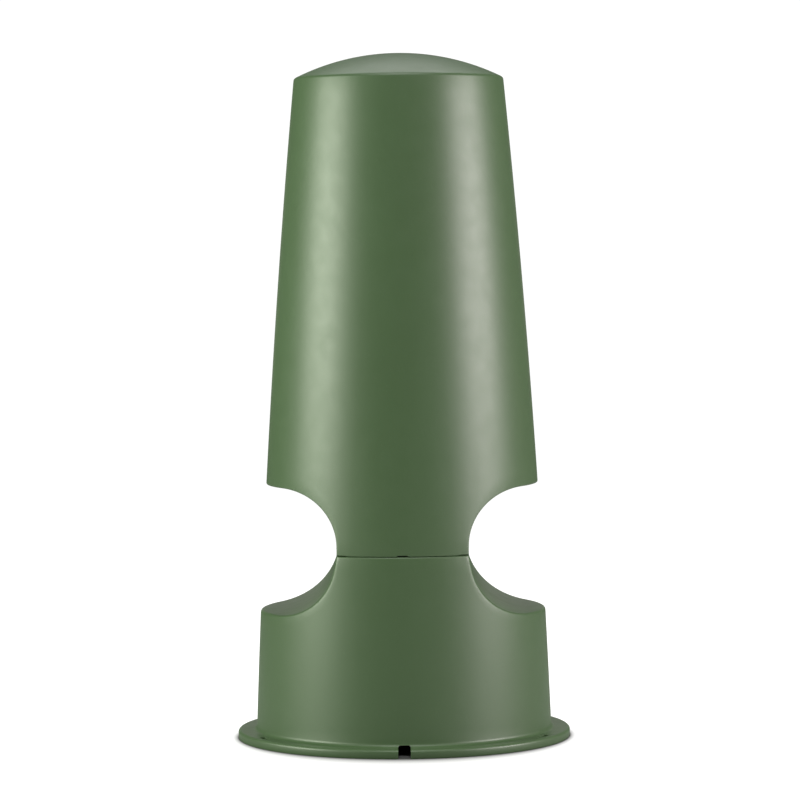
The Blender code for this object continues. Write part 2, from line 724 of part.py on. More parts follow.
def motor():
    """Top plate, ferrite ring and the yoke whose pole stands inside the voice coil."""
    plate_low, plate_high = SEAT_Z + CLEAR, SEAT_Z + 8.3 * MM
    gap_r = COIL_R + 2.1 * MM
    plate = [(gap_r, plate_low), (60.0 * MM, plate_low), (60.0 * MM, plate_high), (gap_r, plate_high)]
    turned("top_plate", plate, "zinc_plated")
    magnet_low, magnet_high = plate_high + CLEAR, plate_high + 18.3 * MM
    edge = 1.5 * MM
    magnet = [
        (32.0 * MM, magnet_low),
        (68.0 * MM - edge, magnet_low),
        (68.0 * MM, magnet_low + edge),
        (68.0 * MM, magnet_high - edge),
        (68.0 * MM - edge, magnet_high),
        (32.0 * MM, magnet_high),
    ]
    turned("magnet", magnet, "ferrite")
    back_low = magnet_high + CLEAR
    back_high = back_low + 8.0 * MM
    yoke = [
        (6.0 * MM, 0.343),
        (POLE_R, 0.343),
        (POLE_R, back_low),
        (60.0 * MM, back_low),
        (60.0 * MM, back_high),
        (6.0 * MM, back_high),
    ]
    turned("yoke", yoke, "zinc_plated")


def woofer_leads():
    """The terminal strip on the frame's rear leg and the two braided leads to the cone."""
    bm = bmesh.new()
    block_into(bm, (-20 * MM, 75.6 * MM, 0.3075), (20 * MM, 78.0 * MM, 0.3185))
    strip = add("terminal_strip", bm, "board")

    def tabs(bm):
        for x in (-8 * MM, 8 * MM):
            block_into(bm, (x - 2.4 * MM, 77 * MM, 0.3125), (x + 2.4 * MM, 85 * MM, 0.3133))

    unite(strip, "strip_tabs", tabs)
    for word, sign in (("left", -1), ("right", 1)):
        points = [
            (sign * 18.0 * MM, 75.1 * MM, 0.3130),
            (sign * 16.5 * MM, 68.0 * MM, 0.3105),
            (sign * 14.0 * MM, 58.0 * MM, 0.3045),
            (sign * 11.0 * MM, 48.0 * MM, 0.3040),
            (sign * 8.0 * MM, 38.0 * MM, 0.3082),
        ]
        wire(f"tinsel_lead_{word}", points, 0.7 * MM, "copper")


# ---------------------------------------------------------------- electronics under the deck


def input_case():
    """An open tray hung under the deck, with a pocket below for the terminals and lugs for the cover."""
    x, y, low = CASE_HALF_X, CASE_HALF_Y, CASE_FLOOR_Z
    bm = bmesh.new()
    block_into(bm, (-x, -y, low), (x, y, CASE_RIM_Z), bevel=5 * MM)
    made = add("input_case", bm, "black_plastic")

    def ears(bm):
        for sign in (-1, 1):
            near, far = sorted((sign * (y - 10 * MM), sign * 0.080))
            block_into(bm, (-0.050, near, 0.1770), (0.050, far, 0.1807), bevel=4 * MM)

    def hollow(bm):
        inset = CASE_WALL
        block_into(bm, (inset - x, inset - y, low + inset), (x - inset, y - inset, 0.200), bevel=3 * MM)

    def pocket(bm):
        block_into(bm, (-0.029, -0.0605, low + 1 * MM), (0.029, -0.013, low + 22 * MM))

    def lugs(bm):
        for near in (-20 * MM, 10 * MM):
            low_corner = (near, HINGE_Y - 1.5 * MM, HINGE_Z + 1 * MM)
            block_into(bm, low_corner, (near + 10 * MM, HINGE_Y + 4 * MM, low + 1 * MM))

    def knuckles(bm):
        for near in (-20 * MM, 10 * MM):
            rod_into(bm, (near, HINGE_Y, HINGE_Z), (near + 10 * MM, HINGE_Y, HINGE_Z), 3.2 * MM)

    def stakes(bm):
        for sx in (-0.024, 0.024):
            for sy in (-0.052, -0.021):
                rod_into(bm, (sx, sy, low + 21 * MM), (sx, sy, 0.1510), 2.0 * MM)

    def seats(bm):
        for sx in (-0.024, 0.024):
            for sy in (-0.052, -0.021):
                rod_into(bm, (sx, sy, low + 21 * MM), (sx, sy, 0.1477), 3.3 * MM)

    def holes(bm):
        block_into(bm, (-0.026, -0.0560, low - 2 * MM), (0.026, -0.0160, low + 19 * MM))
        for sx, sy in corners(CASE_SCREW_X, CASE_SCREW_Y).values():
            rod_into(bm, (sx, sy, 0.170), (sx, sy, 0.185), 2.3 * MM)
        shaft = (SELECTOR_X, SELECTOR_Y)
        rod_into(bm, (*shaft, low - 2 * MM), (*shaft, low + 5 * MM), 5.0 * MM, 16)
        rod_into(bm, (0, 0.050, 0.166), (0, 0.070, 0.166), 6.3 * MM, 16)
        rod_into(bm, (-0.022, HINGE_Y, HINGE_Z), (0.022, HINGE_Y, HINGE_Z), 1.8 * MM)
        for sx in (-0.014, 0.014):
            rod_into(bm, (sx, -0.066, 0.1310), (sx, -0.050, 0.1310), 4.2 * MM)

    unite(made, "case_ears", ears)
    cut(made, "case_hollow", hollow)
    unite(made, "case_pocket", pocket)
    unite(made, "case_lugs", lugs)
    unite(made, "case_knuckles", knuckles)
    unite(made, "case_seats", seats)
    unite(made, "case_stakes", stakes)
    cut(made, "case_holes", holes)


def case_gasket():
    """A foam frame squeezed between the tray's rim and the deck."""
    x, y, wide = CASE_HALF_X, CASE_HALF_Y, CASE_WALL
    low, high = CASE_RIM_Z + CLEAR, SEAM_Z - WALL - CLEAR
    bm = bmesh.new()
    block_into(bm, (-x, -y, low), (x, y, high), bevel=5 * MM)
    made = add("case_gasket", bm, "foam")

    def middle(bm):
        block_into(bm, (wide - x, wide - y, 0.180), (x - wide, y - wide, 0.200), bevel=3 * MM)

    cut(made, "gasket_middle", middle)
    for word, place in corners(CASE_SCREW_X, CASE_SCREW_Y).items():
        screw(f"case_screw_{word}", place, 0.1770 - CLEAR, 14 * MM, 1.6 * MM, 3.6 * MM, 2.2 * MM)


def transformer():
    """An E-I core with its coil round the middle leg, which runs along Z."""
    core_x, core_y, low = (-0.038, -0.013), (-0.010, 0.047), CASE_FLOOR_Z + CASE_WALL + CLEAR
    leg = 9.5 * MM
    middle = sum(core_y) / 2
    high = low + 48 * MM
    bm = bmesh.new()
    block_into(bm, (core_x[0], core_y[0], low), (core_x[1], core_y[1], high))
    core = add("transformer_core", bm, "core_steel")

    def windows(bm):
        for sign in (-1, 1):
            near, far = sorted((middle + sign * leg, middle + sign * 2 * leg))
            block_into(bm, (-0.060, near, low + leg), (0.010, far, high - leg))

    cut(core, "core_windows", windows)
    coil_low, coil_high = low + leg + CLEAR, high - leg - CLEAR
    bm = bmesh.new()
    reach = 2 * leg - CLEAR
    block_into(bm, (-0.0500, middle - reach, coil_low), (-0.0010, middle + reach, coil_high))
    coil = add("transformer_coil", bm, "coil_tape")

    def bore(bm):
        inner = leg + CLEAR
        low_corner = (core_x[0] - CLEAR, middle - inner, coil_low - 0.002)
        block_into(bm, low_corner, (core_x[1] + CLEAR, middle + inner, coil_high + 0.002))

    cut(coil, "coil_bore", bore)


def crossover():
    """The low-pass board staked over the terminal pocket, with its inductor and capacitor."""
    low, high = 0.1480, 0.1496
    bm = bmesh.new()
    block_into(bm, (-0.028, -0.056, low), (0.028, -0.017, high))
    board = add("crossover_board", bm, "board")

    def holes(bm):
        for sx in (-0.024, 0.024):
            for sy in (-0.052, -0.021):
                rod_into(bm, (sx, sy, 0.140), (sx, sy, 0.160), 2.3 * MM)

    cut(board, "board_holes", holes)
    z = high + CLEAR
    spool = [
        (0.0, z),
        (11.0 * MM, z),
        (11.0 * MM, z + 1.5 * MM),
        (10.0 * MM, z + 1.5 * MM),
        (10.0 * MM, z + 17.5 * MM),
        (11.0 * MM, z + 17.5 * MM),
        (11.0 * MM, z + 19.0 * MM),
        (0.0, z + 19.0 * MM),
    ]
    turned("inductor", spool, "copper", 24, at=(-0.0095, -0.0365, 0))
    can = [
        (0.0, z),
        (7.2 * MM, z),
        (8.0 * MM, z + 0.8 * MM),
        (8.0 * MM, z + 28.0 * MM),
        (7.2 * MM, z + 28.8 * MM),
        (0.0, z + 28.8 * MM),
    ]
    turned("capacitor", can, "capacitor_sleeve", 20, at=(0.0120, -0.0365, 0))


def input_terminals():
    """A four-way screw terminal block in the pocket, its screws facing down."""
    bm = bmesh.new()
    block_into(bm, (-0.022, -0.044, 0.1285), (0.022, -0.028, CASE_FLOOR_Z + 19 * MM - CLEAR))
    made = add("input_terminals", bm, "terminal_green")

    def ways(bm):
        for i in range(4):
            x = (-0.0165, -0.0055, 0.0055, 0.0165)[i]
            rod_into(bm, (x, -0.034, 0.120), (x, -0.034, 0.1325), 3.0 * MM)
            block_into(bm, (x - 2.5 * MM, -0.050, 0.1345), (x + 2.5 * MM, -0.038, 0.1395))

    cut(made, "terminal_ways", ways)


def selector():
    """The rotary power tap switch and the knob on its shaft, which turns below the case."""
    floor_low, floor_high = CASE_FLOOR_Z - CLEAR, CASE_FLOOR_Z + CASE_WALL + CLEAR
    body = [
        (0.0, 0.1372),
        (3.2 * MM, 0.1372),
        (3.2 * MM, 0.1188),
        (4.6 * MM, 0.1188),
        (4.6 * MM, 0.1192),
        (7.5 * MM, 0.1192),
        (7.5 * MM, floor_low),
        (4.6 * MM, floor_low),
        (4.6 * MM, floor_high),
        (13.0 * MM, floor_high),
        (13.0 * MM, 0.1410),
        (0.0, 0.1410),
    ]
    turned("tap_switch", body, "black_plastic", 24, at=(SELECTOR_X, SELECTOR_Y, 0))
    knob = [
        (0.0, 0.1110),
        (10.5 * MM, 0.1110),
        (12.0 * MM, 0.1130),
        (12.0 * MM, 0.1182),
        (3.0 * MM, 0.1182),
        (3.0 * MM, 0.1368),
        (0.0, 0.1368),
    ]
    made = turned("tap_knob", knob, "black_plastic", 24)
    made.location = (SELECTOR_X, SELECTOR_Y, 0)

    def grip(bm):
        block_into(bm, (-3.0 * MM, -11.5 * MM, 0.1040), (3.0 * MM, 9.0 * MM, 0.1120), bevel=1.5 * MM)

    unite(made, "knob_grip", grip)
    bpy.data.objects["knob_grip"].location = made.location


def terminal_cover():
    """The lid of the terminal pocket, modelled about its hinge line and hung there."""
    top = CASE_FLOOR_Z - 0.6 * MM - HINGE_Z
    bm = bmesh.new()
    block_into(bm, (-0.028, -0.0490, top - 2.5 * MM), (0.028, -0.0045, top), bevel=3 * MM)
    made = add("terminal_cover", bm, "black_plastic")
    made.location = (0, HINGE_Y, HINGE_Z)

    def tabs(bm):
        block_into(bm, (-9.5 * MM, -6.0 * MM, -1.5 * MM), (9.5 * MM, 0, 1.5 * MM))
        block_into(bm, (-8 * MM, -0.0530, top - 2.0 * MM), (8 * MM, -0.0480, top - 0.5 * MM))

    def knuckle(bm):
        rod_into(bm, (-9.5 * MM, 0, 0), (9.5 * MM, 0, 0), 3.2 * MM)

    def bore(bm):
        rod_into(bm, (-12 * MM, 0, 0), (12 * MM, 0, 0), 1.8 * MM)

    unite(made, "cover_tabs", tabs)
    unite(made, "cover_knuckle", knuckle)
    cut(made, "cover_bore", bore)
    for name in ("cover_tabs", "cover_knuckle", "cover_bore"):
        bpy.data.objects[name].location = made.location
    bm = bmesh.new()
    rod_into(bm, (-21 * MM, HINGE_Y, HINGE_Z), (21 * MM, HINGE_Y, HINGE_Z), 1.5 * MM)
    add("cover_hinge_pin", bm, "stainless")


# ---------------------------------------------------------------- lead, glands and wadding


def lead_and_glands():
    """The lead from the case up to the woofer, with the fittings where it goes through a wall."""
    bore, deck_z = LEAD_R + CLEAR, SEAM_Z - WALL
    gland = [
        (bore, -5.0 * MM),
        (8.5 * MM, -5.0 * MM),
        (8.5 * MM, -3.3 * MM),
        (6.0 * MM, -3.3 * MM),
        (6.0 * MM, CLEAR),
        (8.5 * MM, CLEAR),
        (8.5 * MM, 6.0 * MM),
        (6.0 * MM, 9.0 * MM),
        (bore, 9.0 * MM),
    ]
    case_gland = turned("case_gland", gland, "black_plastic", 16)
    case_gland.rotation_euler = (-math.pi / 2, 0, 0)
    case_gland.location = (0, CASE_HALF_Y, 0.166)
    grommet = [
        (bore, deck_z - 1.8 * MM),
        (8.5 * MM, deck_z - 1.8 * MM),
        (8.5 * MM, deck_z - CLEAR),
        (6.0 * MM, deck_z - CLEAR),
        (6.0 * MM, SEAM_Z + 0.1 * MM),
        (bore, SEAM_Z + 0.1 * MM),
    ]
    turned("deck_grommet", grommet, "rubber", 16, at=(0, LEAD_Y, 0))
    conduit = [
        (3.3 * MM, SEAM_Z + 0.4 * MM),
        (7.0 * MM, SEAM_Z + 0.4 * MM),
        (7.0 * MM, SEAM_Z + 2.0 * MM),
        (5.2 * MM, SEAM_Z + 2.0 * MM),
        (5.2 * MM, BAFFLE_Z - CLEAR),
        (3.3 * MM, BAFFLE_Z - CLEAR),
    ]
    turned("cable_conduit", conduit, "black_plastic", 16, at=(0, LEAD_Y, 0))
    seal_z = BAFFLE_Z + BAFFLE_THICK + CLEAR
    seal = [
        (bore, seal_z),
        (8.0 * MM, seal_z),
        (8.0 * MM, seal_z + 4.0 * MM),
        (5.5 * MM, seal_z + 8.0 * MM),
        (bore, seal_z + 8.0 * MM),
    ]
    turned("baffle_gland", seal, "black_plastic", 16, at=(0, LEAD_Y, 0))
    route = [
        (0, 0.052, 0.1660),
        (0, 0.062, 0.1660),
        (0, 0.074, 0.1660),
        (0, 0.090, 0.1664),
        (0, 0.102, 0.1690),
        (0, 0.111, 0.1765),
        (0, LEAD_Y, 0.1855),
        (0, LEAD_Y, 0.1890),
        (0, LEAD_Y, 0.2000),
        (0, LEAD_Y, 0.2400),
        (0, LEAD_Y, 0.2850),
        (0, LEAD_Y, 0.3070),
        (0, 0.1120, 0.3165),
        (0, 0.1055, 0.3240),
        (0, 0.0960, 0.3255),
        (0, 0.0870, 0.3190),
        (0, 0.0797, 0.3135),
    ]
    wire("driver_lead", route, LEAD_R, "rubber")


def damping_lining():
    """Polyester wadding round the inside of the rear chamber, as a plain sleeve of the right size."""
    levels = (0.400, 0.480, 0.560, 0.640)
    outside = [(body_radius(z) - WALL - 1.0 * MM, z) for z in levels]
    inside = [(r - 11.0 * MM, z) for r, z in reversed(outside)]
    turned("damping_lining", outside + inside, "wadding", 24)


def main():
    for obj in list(bpy.data.objects):
        bpy.data.objects.remove(obj, do_unlink=True)
    upper_housing()
    base_housing()
    grille("left", -1)
    grille("right", 1)
    baffle()
    housing_screws()
    woofer_frame()
    woofer_rings()
    woofer_cone()
    suspension()
    motor()
    woofer_leads()
    input_case()
    case_gasket()
    transformer()
    crossover()
    input_terminals()
    selector()
    terminal_cover()
    lead_and_glands()
    damping_lining()


main()
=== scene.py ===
import json
import math

import bmesh
import bpy
from mathutils import Matrix, Vector

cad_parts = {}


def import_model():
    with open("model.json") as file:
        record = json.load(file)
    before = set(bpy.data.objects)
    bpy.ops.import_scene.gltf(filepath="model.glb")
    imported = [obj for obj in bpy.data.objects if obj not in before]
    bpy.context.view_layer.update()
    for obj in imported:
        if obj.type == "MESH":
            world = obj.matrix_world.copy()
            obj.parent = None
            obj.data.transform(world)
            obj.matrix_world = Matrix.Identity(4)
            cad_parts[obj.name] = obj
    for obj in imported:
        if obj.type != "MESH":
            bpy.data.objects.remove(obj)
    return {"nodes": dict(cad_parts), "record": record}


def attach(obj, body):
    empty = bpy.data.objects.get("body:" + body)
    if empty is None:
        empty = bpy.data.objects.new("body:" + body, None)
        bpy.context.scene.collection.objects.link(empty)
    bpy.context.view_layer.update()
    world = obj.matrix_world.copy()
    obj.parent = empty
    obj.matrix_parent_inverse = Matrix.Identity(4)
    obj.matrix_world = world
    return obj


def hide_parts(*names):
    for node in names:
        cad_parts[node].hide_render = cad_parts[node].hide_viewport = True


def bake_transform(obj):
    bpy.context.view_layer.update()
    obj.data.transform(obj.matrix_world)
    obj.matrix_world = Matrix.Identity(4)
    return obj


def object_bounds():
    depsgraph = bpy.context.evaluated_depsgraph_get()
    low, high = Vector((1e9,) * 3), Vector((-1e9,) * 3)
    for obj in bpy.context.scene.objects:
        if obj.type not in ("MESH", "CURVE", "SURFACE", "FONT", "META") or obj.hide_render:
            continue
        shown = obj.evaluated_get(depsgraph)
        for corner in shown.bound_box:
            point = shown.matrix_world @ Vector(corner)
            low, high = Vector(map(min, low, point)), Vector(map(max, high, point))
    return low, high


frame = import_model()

MM = 0.001
CAD_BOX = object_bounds()
HOUSING = "housing"

# Housings, as in the CAD
HEIGHT = CAD_BOX[1].z
SHOULDER_Z = 0.6745
SHOULDER_R = 0.1071
FOOT_R = 0.1518
BULGE = 0.00507
WALL = 0.0045
SEAM_Z = 0.1963
SEAM_GAP = 0.00015
PRY_SLOT_HALF = 0.0056
PRY_SLOT_HEIGHT = 0.0010
SEAM_END_X = 0.0555
SEAM_END_LIFT = 0.0005
NECK_HALF_WIDTH = 0.0657
NOTCH_HALF_HEIGHT = 0.0639
UPPER_ARC_R = 0.0551
LOWER_ARC_R = 0.0620
LOWER_ARC_X = 0.1292
LOWER_ARC_SWEEP = 78.0
FLANGE_R = 0.1705
FLANGE_HEIGHT = 0.0088
FLANGE_PLATE = 0.0040
FLANGE_LIP = 0.0035
FLANGE_FILLET = 0.0040
ANCHOR_SLOT_R = 0.1610
ANCHOR_SLOT_ANGLE = 30.0
CABLE_SLOT_WIDTH = 0.0124
CABLE_SLOT_HEIGHT = 0.0108
TIE_SCREW_X = 0.0400
TIE_SCREW_Y = 0.1160
LEAD_Y = 0.1140
GRILLE_SCREW_Y = 0.0360


# ---------------------------------------------------------------- objects and meshes


def linked(name, bm):
    """The bmesh as an object of the scene."""
    mesh = bpy.data.meshes.new(name)
    bm.to_mesh(mesh)
    bm.free()
    made = bpy.data.objects.new(name, mesh)
    bpy.context.scene.collection.objects.link(made)
    return made


def shaded(name, bm, slot, sharp):
    """An object shaded smoothly up to the sharp angle in degrees, with its slot's material."""
    made = linked(name, bm)
    made.data.shade_smooth()
    made.data.set_sharp_from_angle(angle=math.radians(sharp))
    made.data.materials.append(LOOKS[slot])
    return made


def fixed(name, bm, body, slot, replaced, sharp=35.0):
    """A piece that rides on a CAD body and stands for the replaced nodes."""
    made = shaded(name, bm, slot, sharp)
    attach(made, body)
    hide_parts(*replaced)
    return made


def helper(build):
    """A throwaway object for a Boolean."""
    bm = bmesh.new()
    build(bm)
    bmesh.ops.recalc_face_normals(bm, faces=bm.faces)
    return linked("helper", bm)


def carved(bm, *cutters):
    """The bmesh with the shapes that the cutters build taken away, as a new bmesh."""
    bmesh.ops.recalc_face_normals(bm, faces=bm.faces)
    work = linked("carved", bm)
    others = [helper(build) for build in cutters]
    for other in others:
        modifier = work.modifiers.new("Cut", "BOOLEAN")
        modifier.operation = "DIFFERENCE"
        modifier.solver = "EXACT"
        modifier.object = other
    depsgraph = bpy.context.evaluated_depsgraph_get()
    shaped = bpy.data.meshes.new_from_object(work.evaluated_get(depsgraph))
    made = bmesh.new()
    made.from_mesh(shaped)
    for used in (work, *others):
        data = used.data
        bpy.data.objects.remove(used, do_unlink=True)
        bpy.data.meshes.remove(data)
    bpy.data.meshes.remove(shaped)
    return made


def rod_into(bm, start, end, radius, segments=16):
    start, end = Vector(start), Vector(end)
    along = end - start
    bmesh.ops.create_cone(
        bm,
        cap_ends=True,
        segments=segments,
        radius1=radius,
        radius2=radius,
        depth=along.length,
        matrix=Matrix.Translation((start + end) / 2) @ along.to_track_quat("Z", "Y").to_matrix().to_4x4(),
    )


def prism_into(bm, outline, place):
    """A prism on an outline of (u, v) points. place(u, v, w) gives the point for w 0 and 1."""
    ends = [[bm.verts.new(place(u, v, w)) for u, v in outline] for w in (0, 1)]
    bm.faces.new(list(reversed(ends[0])))
    bm.faces.new(ends[1])
    for i in range(len(outline)):
        j = (i + 1) % len(outline)
        bm.faces.new((ends[0][i], ends[0][j], ends[1][j], ends[1][i]))


def stadium(length, width, steps=6):
    """A slot's outline, its long way along u."""
    r, reach = width / 2, length / 2 - width / 2
    points = []
    for side in (1, -1):
        for i in range(steps + 1):
            a = math.pi * i / steps - math.pi / 2
            points.append((side * (reach + r * math.cos(a)), side * r * math.sin(a)))
    return points


def ring(radius, z, count):
    turns = [2 * math.pi * i / count for i in range(count)]
    return [Vector((radius * math.cos(a), radius * math.sin(a), z)) for a in turns]


def skin_into(bm, loops):
    """Faces between neighbouring loops. A loop of one point is a pole. Returns the vertices."""
    made = [[bm.verts.new(p) for p in loop] for loop in loops]
    for a, b in zip(made, made[1:]):
        count = max(len(a), len(b))
        for i in range(count):
            j = (i + 1) % count
            if len(a) == 1:
                bm.faces.new((a[0], b[i], b[j]))
            elif len(b) == 1:
                bm.faces.new((a[i], a[j], b[0]))
            else:
                bm.faces.new((a[i], a[j], b[j], b[i]))
    return made


def closed_skin(loops):
    """A bmesh skinned over loops of equal length, the last joined to the first."""
    bm = bmesh.new()
    made = skin_into(bm, loops)
    first, last = made[0], made[-1]
    for i in range(len(first)):
        j = (i + 1) % len(first)
        bm.faces.new((last[i], last[j], first[j], first[i]))
    bmesh.ops.recalc_face_normals(bm, faces=bm.faces)
    return bm


def turned(profile, segments=96):
    """A ring of (radius, height) section, spun about Z."""
    return closed_skin([ring(r, z, segments) for r, z in profile])


def eased(points, radius, steps):
    """A closed outline of (u, v) points, its corners rounded by radius, or less on a short side."""
    made = []
    for i, (u, v) in enumerate(points):
        here = Vector((u, v))
        before, after = Vector(points[i - 1]) - here, Vector(points[(i + 1) % len(points)]) - here
        cut = min(radius, before.length * 0.45, after.length * 0.45)
        a, b = here + before.normalized() * cut, here + after.normalized() * cut
        made += [tuple(turn_at(a, here, b, k / steps)) for k in range(steps + 1)]
    return made


# ---------------------------------------------------------------- materials


def put(tree, kind, inputs=None, **settings):
    """A shader node. An input that is a socket gets linked, anything else is set."""
    made = tree.nodes.new(kind)
    for name, value in settings.items():
        setattr(made, name, value)
    for name, value in (inputs or {}).items():
        if isinstance(value, bpy.types.NodeSocket):
            tree.links.new(value, made.inputs[name])
        else:
            made.inputs[name].default_value = value
    return made


def place_in(tree, stretch=(1, 1, 1)):
    """The piece's own coordinates in metres, stretched."""
    where = put(tree, "ShaderNodeTexCoord").outputs["Object"]
    if tuple(stretch) == (1, 1, 1):
        return where
    return put(tree, "ShaderNodeMapping", {"Vector": where, "Scale": stretch}).outputs["Vector"]


def noise(tree, scale, detail=3.0, rough=0.55, stretch=(1, 1, 1), distortion=0.0):
    inputs = {
        "Vector": place_in(tree, stretch),
        "Scale": scale,
        "Detail": detail,
        "Roughness": rough,
        "Distortion": distortion,
    }
    return put(tree, "ShaderNodeTexNoise", inputs).outputs["Fac"]


def waves(tree, scale, direction, kind="BANDS", distortion=0.0, stretch=(1, 1, 1)):
    settings = {"wave_type": kind, f"{kind.lower()}_direction": direction}
    inputs = {"Vector": place_in(tree, stretch), "Scale": scale, "Distortion": distortion, "Detail": 1.0}
    return put(tree, "ShaderNodeTexWave", inputs, **settings).outputs["Fac"]


def cells(tree, scale, feature="F1"):
    inputs = {"Vector": place_in(tree), "Scale": scale}
    return put(tree, "ShaderNodeTexVoronoi", inputs, feature=feature).outputs["Distance"]


def ranged(tree, value, low, high, to_low, to_high):
    inputs = {"Value": value, "From Min": low, "From Max": high, "To Min": to_low, "To Max": to_high}
    return put(tree, "ShaderNodeMapRange", inputs).outputs["Result"]


def maths(tree, operation, a, b):
    made = put(tree, "ShaderNodeMath", operation=operation)
    for socket, value in zip(made.inputs, (a, b)):
        if isinstance(value, bpy.types.NodeSocket):
            tree.links.new(value, socket)
        else:
            socket.default_value = value
    return made.outputs["Value"]


def mixed(tree, factor, first, second):
    made = put(tree, "ShaderNodeMix", data_type="RGBA")
    tree.links.new(factor, made.inputs["Factor"])
    for socket, value in ((made.inputs[6], first), (made.inputs[7], second)):
        if isinstance(value, bpy.types.NodeSocket):
            tree.links.new(value, socket)
        else:
            socket.default_value = (*value, 1.0)
    return made.outputs[2]


def surface(name, **constants):
    """A new material, its tree and its Principled shader, with constants set on the shader's sockets."""
    made = bpy.data.materials.new(name)
    made.use_nodes = True
    shader = made.node_tree.nodes["Principled BSDF"]
    for key, value in constants.items():
        shader.inputs[key.replace("_", " ")].default_value = value
    return made, made.node_tree, shader


def connect(tree, shader, colour=None, roughness=None, height=None, depth=0.0, strength=1.0):
    """Joins up colour, roughness and a bump of that depth in metres."""
    if colour is not None:
        tree.links.new(colour, shader.inputs["Base Color"])
    if roughness is not None:
        tree.links.new(roughness, shader.inputs["Roughness"])
    if height is not None:
        bump = put(tree, "ShaderNodeBump", {"Height": height, "Distance": depth, "Strength": strength})
        tree.links.new(bump.outputs["Normal"], shader.inputs["Normal"])


def housing_plastic():
    """Satin moulded green: fine spark-eroded grain, faint flow mottling, and a painted highlight that
    makes convex edges a little paler.
    """
    made, tree, shader = surface("housing_green_satin", Specular_IOR_Level=0.75)
    flow = noise(tree, 9.0, 4.0, stretch=(1, 1, 0.35), distortion=0.4)
    speck = noise(tree, 520.0, 2.0)
    share = ranged(tree, flow, 0.3, 0.7, 0, 1)
    green = mixed(tree, share, (0.0535, 0.101, 0.0375), (0.0585, 0.110, 0.0425))
    green = mixed(tree, ranged(tree, speck, 0.62, 0.80, 0, 0.5), green, (0.072, 0.125, 0.058))
    # Painted highlight: convex edges, picked out by pointiness, are mixed by up to 0.35 towards a paler
    # green.
    edge = put(tree, "ShaderNodeNewGeometry").outputs["Pointiness"]
    green = mixed(tree, ranged(tree, edge, 0.53, 0.62, 0, 0.35), green, (0.098, 0.160, 0.080))
    rough = ranged(tree, noise(tree, 60.0, 3.0), 0.3, 0.7, 0.42, 0.46)
    swell = maths(tree, "MULTIPLY", noise(tree, 260.0, 2.0), 0.8)
    grain = maths(tree, "ADD", noise(tree, 1500.0, 2.0), swell)
    connect(tree, shader, green, rough, grain, depth=0.00006, strength=0.55)
    return made


def moulded(name, dark, light, roughness=(0.45, 0.58)):
    """Spark-eroded moulded plastic."""
    made, tree, shader = surface(name)
    colour = mixed(tree, ranged(tree, noise(tree, 35.0, 4.0), 0.3, 0.7, 0, 1), dark, light)
    rough = ranged(tree, noise(tree, 110.0, 3.0), 0.3, 0.7, *roughness)
    connect(tree, shader, colour, rough, noise(tree, 900.0, 3.0), 0.00008, 0.6)
    return made


def powder_coat():
    made, tree, shader = surface("powder_coat_black", Metallic=0.25)
    peel = cells(tree, 900.0, "SMOOTH_F1")
    colour = mixed(tree, noise(tree, 60.0, 3.0), (0.012, 0.013, 0.012), (0.022, 0.023, 0.021))
    rough = ranged(tree, noise(tree, 200.0, 2.0), 0.3, 0.7, 0.42, 0.55)
    connect(tree, shader, colour, rough, peel, 0.00010, 0.6)
    return made


def stainless():
    """Turned steel, with fine tool marks."""
    made, tree, shader = surface("stainless_bright", Metallic=1.0)
    cloud = noise(tree, 55.0, 5.0)
    colour = mixed(tree, ranged(tree, cloud, 0.3, 0.7, 0, 1), (0.50, 0.50, 0.48), (0.66, 0.66, 0.64))
    marks = waves(tree, 900.0, "Z", "RINGS", 1.5)
    uneven = maths(tree, "ADD", cloud, maths(tree, "MULTIPLY", marks, 0.3))
    rough = ranged(tree, uneven, 0.3, 1.0, 0.22, 0.36)
    connect(tree, shader, colour, rough, marks, 0.00002, 0.5)
    return made


def zinc():
    """Passivated zinc with its faint yellow and blue clouds."""
    made, tree, shader = surface("zinc_passivated", Metallic=1.0)
    cloud = noise(tree, 38.0, 4.0, distortion=0.8)
    tint = mixed(tree, ranged(tree, cloud, 0.35, 0.65, 0, 1), (0.50, 0.53, 0.57), (0.60, 0.58, 0.47))
    spangle = cells(tree, 260.0)
    rough = ranged(tree, spangle, 0.0, 0.8, 0.26, 0.42)
    connect(tree, shader, tint, rough, waves(tree, 800.0, "Z", "RINGS", 1.2), 0.00002, 0.4)
    return made


def ferrite():
    made, tree, shader = surface("ferrite_ground")
    pits = cells(tree, 420.0)
    share = ranged(tree, pits, 0.05, 0.5, 0, 1)
    colour = mixed(tree, share, (0.022, 0.022, 0.025), (0.060, 0.060, 0.066))
    marks = maths(tree, "ADD", noise(tree, 700.0, 4.0), ranged(tree, pits, 0.0, 0.2, 0, 1))
    rough = ranged(tree, noise(tree, 150.0), 0.3, 0.7, 0.55, 0.75)
    connect(tree, shader, colour, rough, marks, 0.00015, 0.7)
    return made


def rubber():
    made, tree, shader = surface("rubber_black", Specular_IOR_Level=0.4)
    bloom = noise(tree, 26.0, 5.0, distortion=0.5)
    share = ranged(tree, bloom, 0.35, 0.75, 0, 1)
    colour = mixed(tree, share, (0.010, 0.010, 0.010), (0.022, 0.022, 0.023))
    rough = ranged(tree, bloom, 0.3, 0.7, 0.55, 0.75)
    connect(tree, shader, colour, rough, noise(tree, 1200.0), 0.00006, 0.5)
    return made


def foam():
    made, tree, shader = surface("foam_black")
    pores = cells(tree, 1500.0)
    share = ranged(tree, pores, 0.1, 0.6, 0, 1)
    colour = mixed(tree, share, (0.008, 0.008, 0.008), (0.040, 0.040, 0.041))
    connect(tree, shader, colour, ranged(tree, pores, 0, 1, 0.85, 1.0), pores, 0.0004, 0.9)
    return made


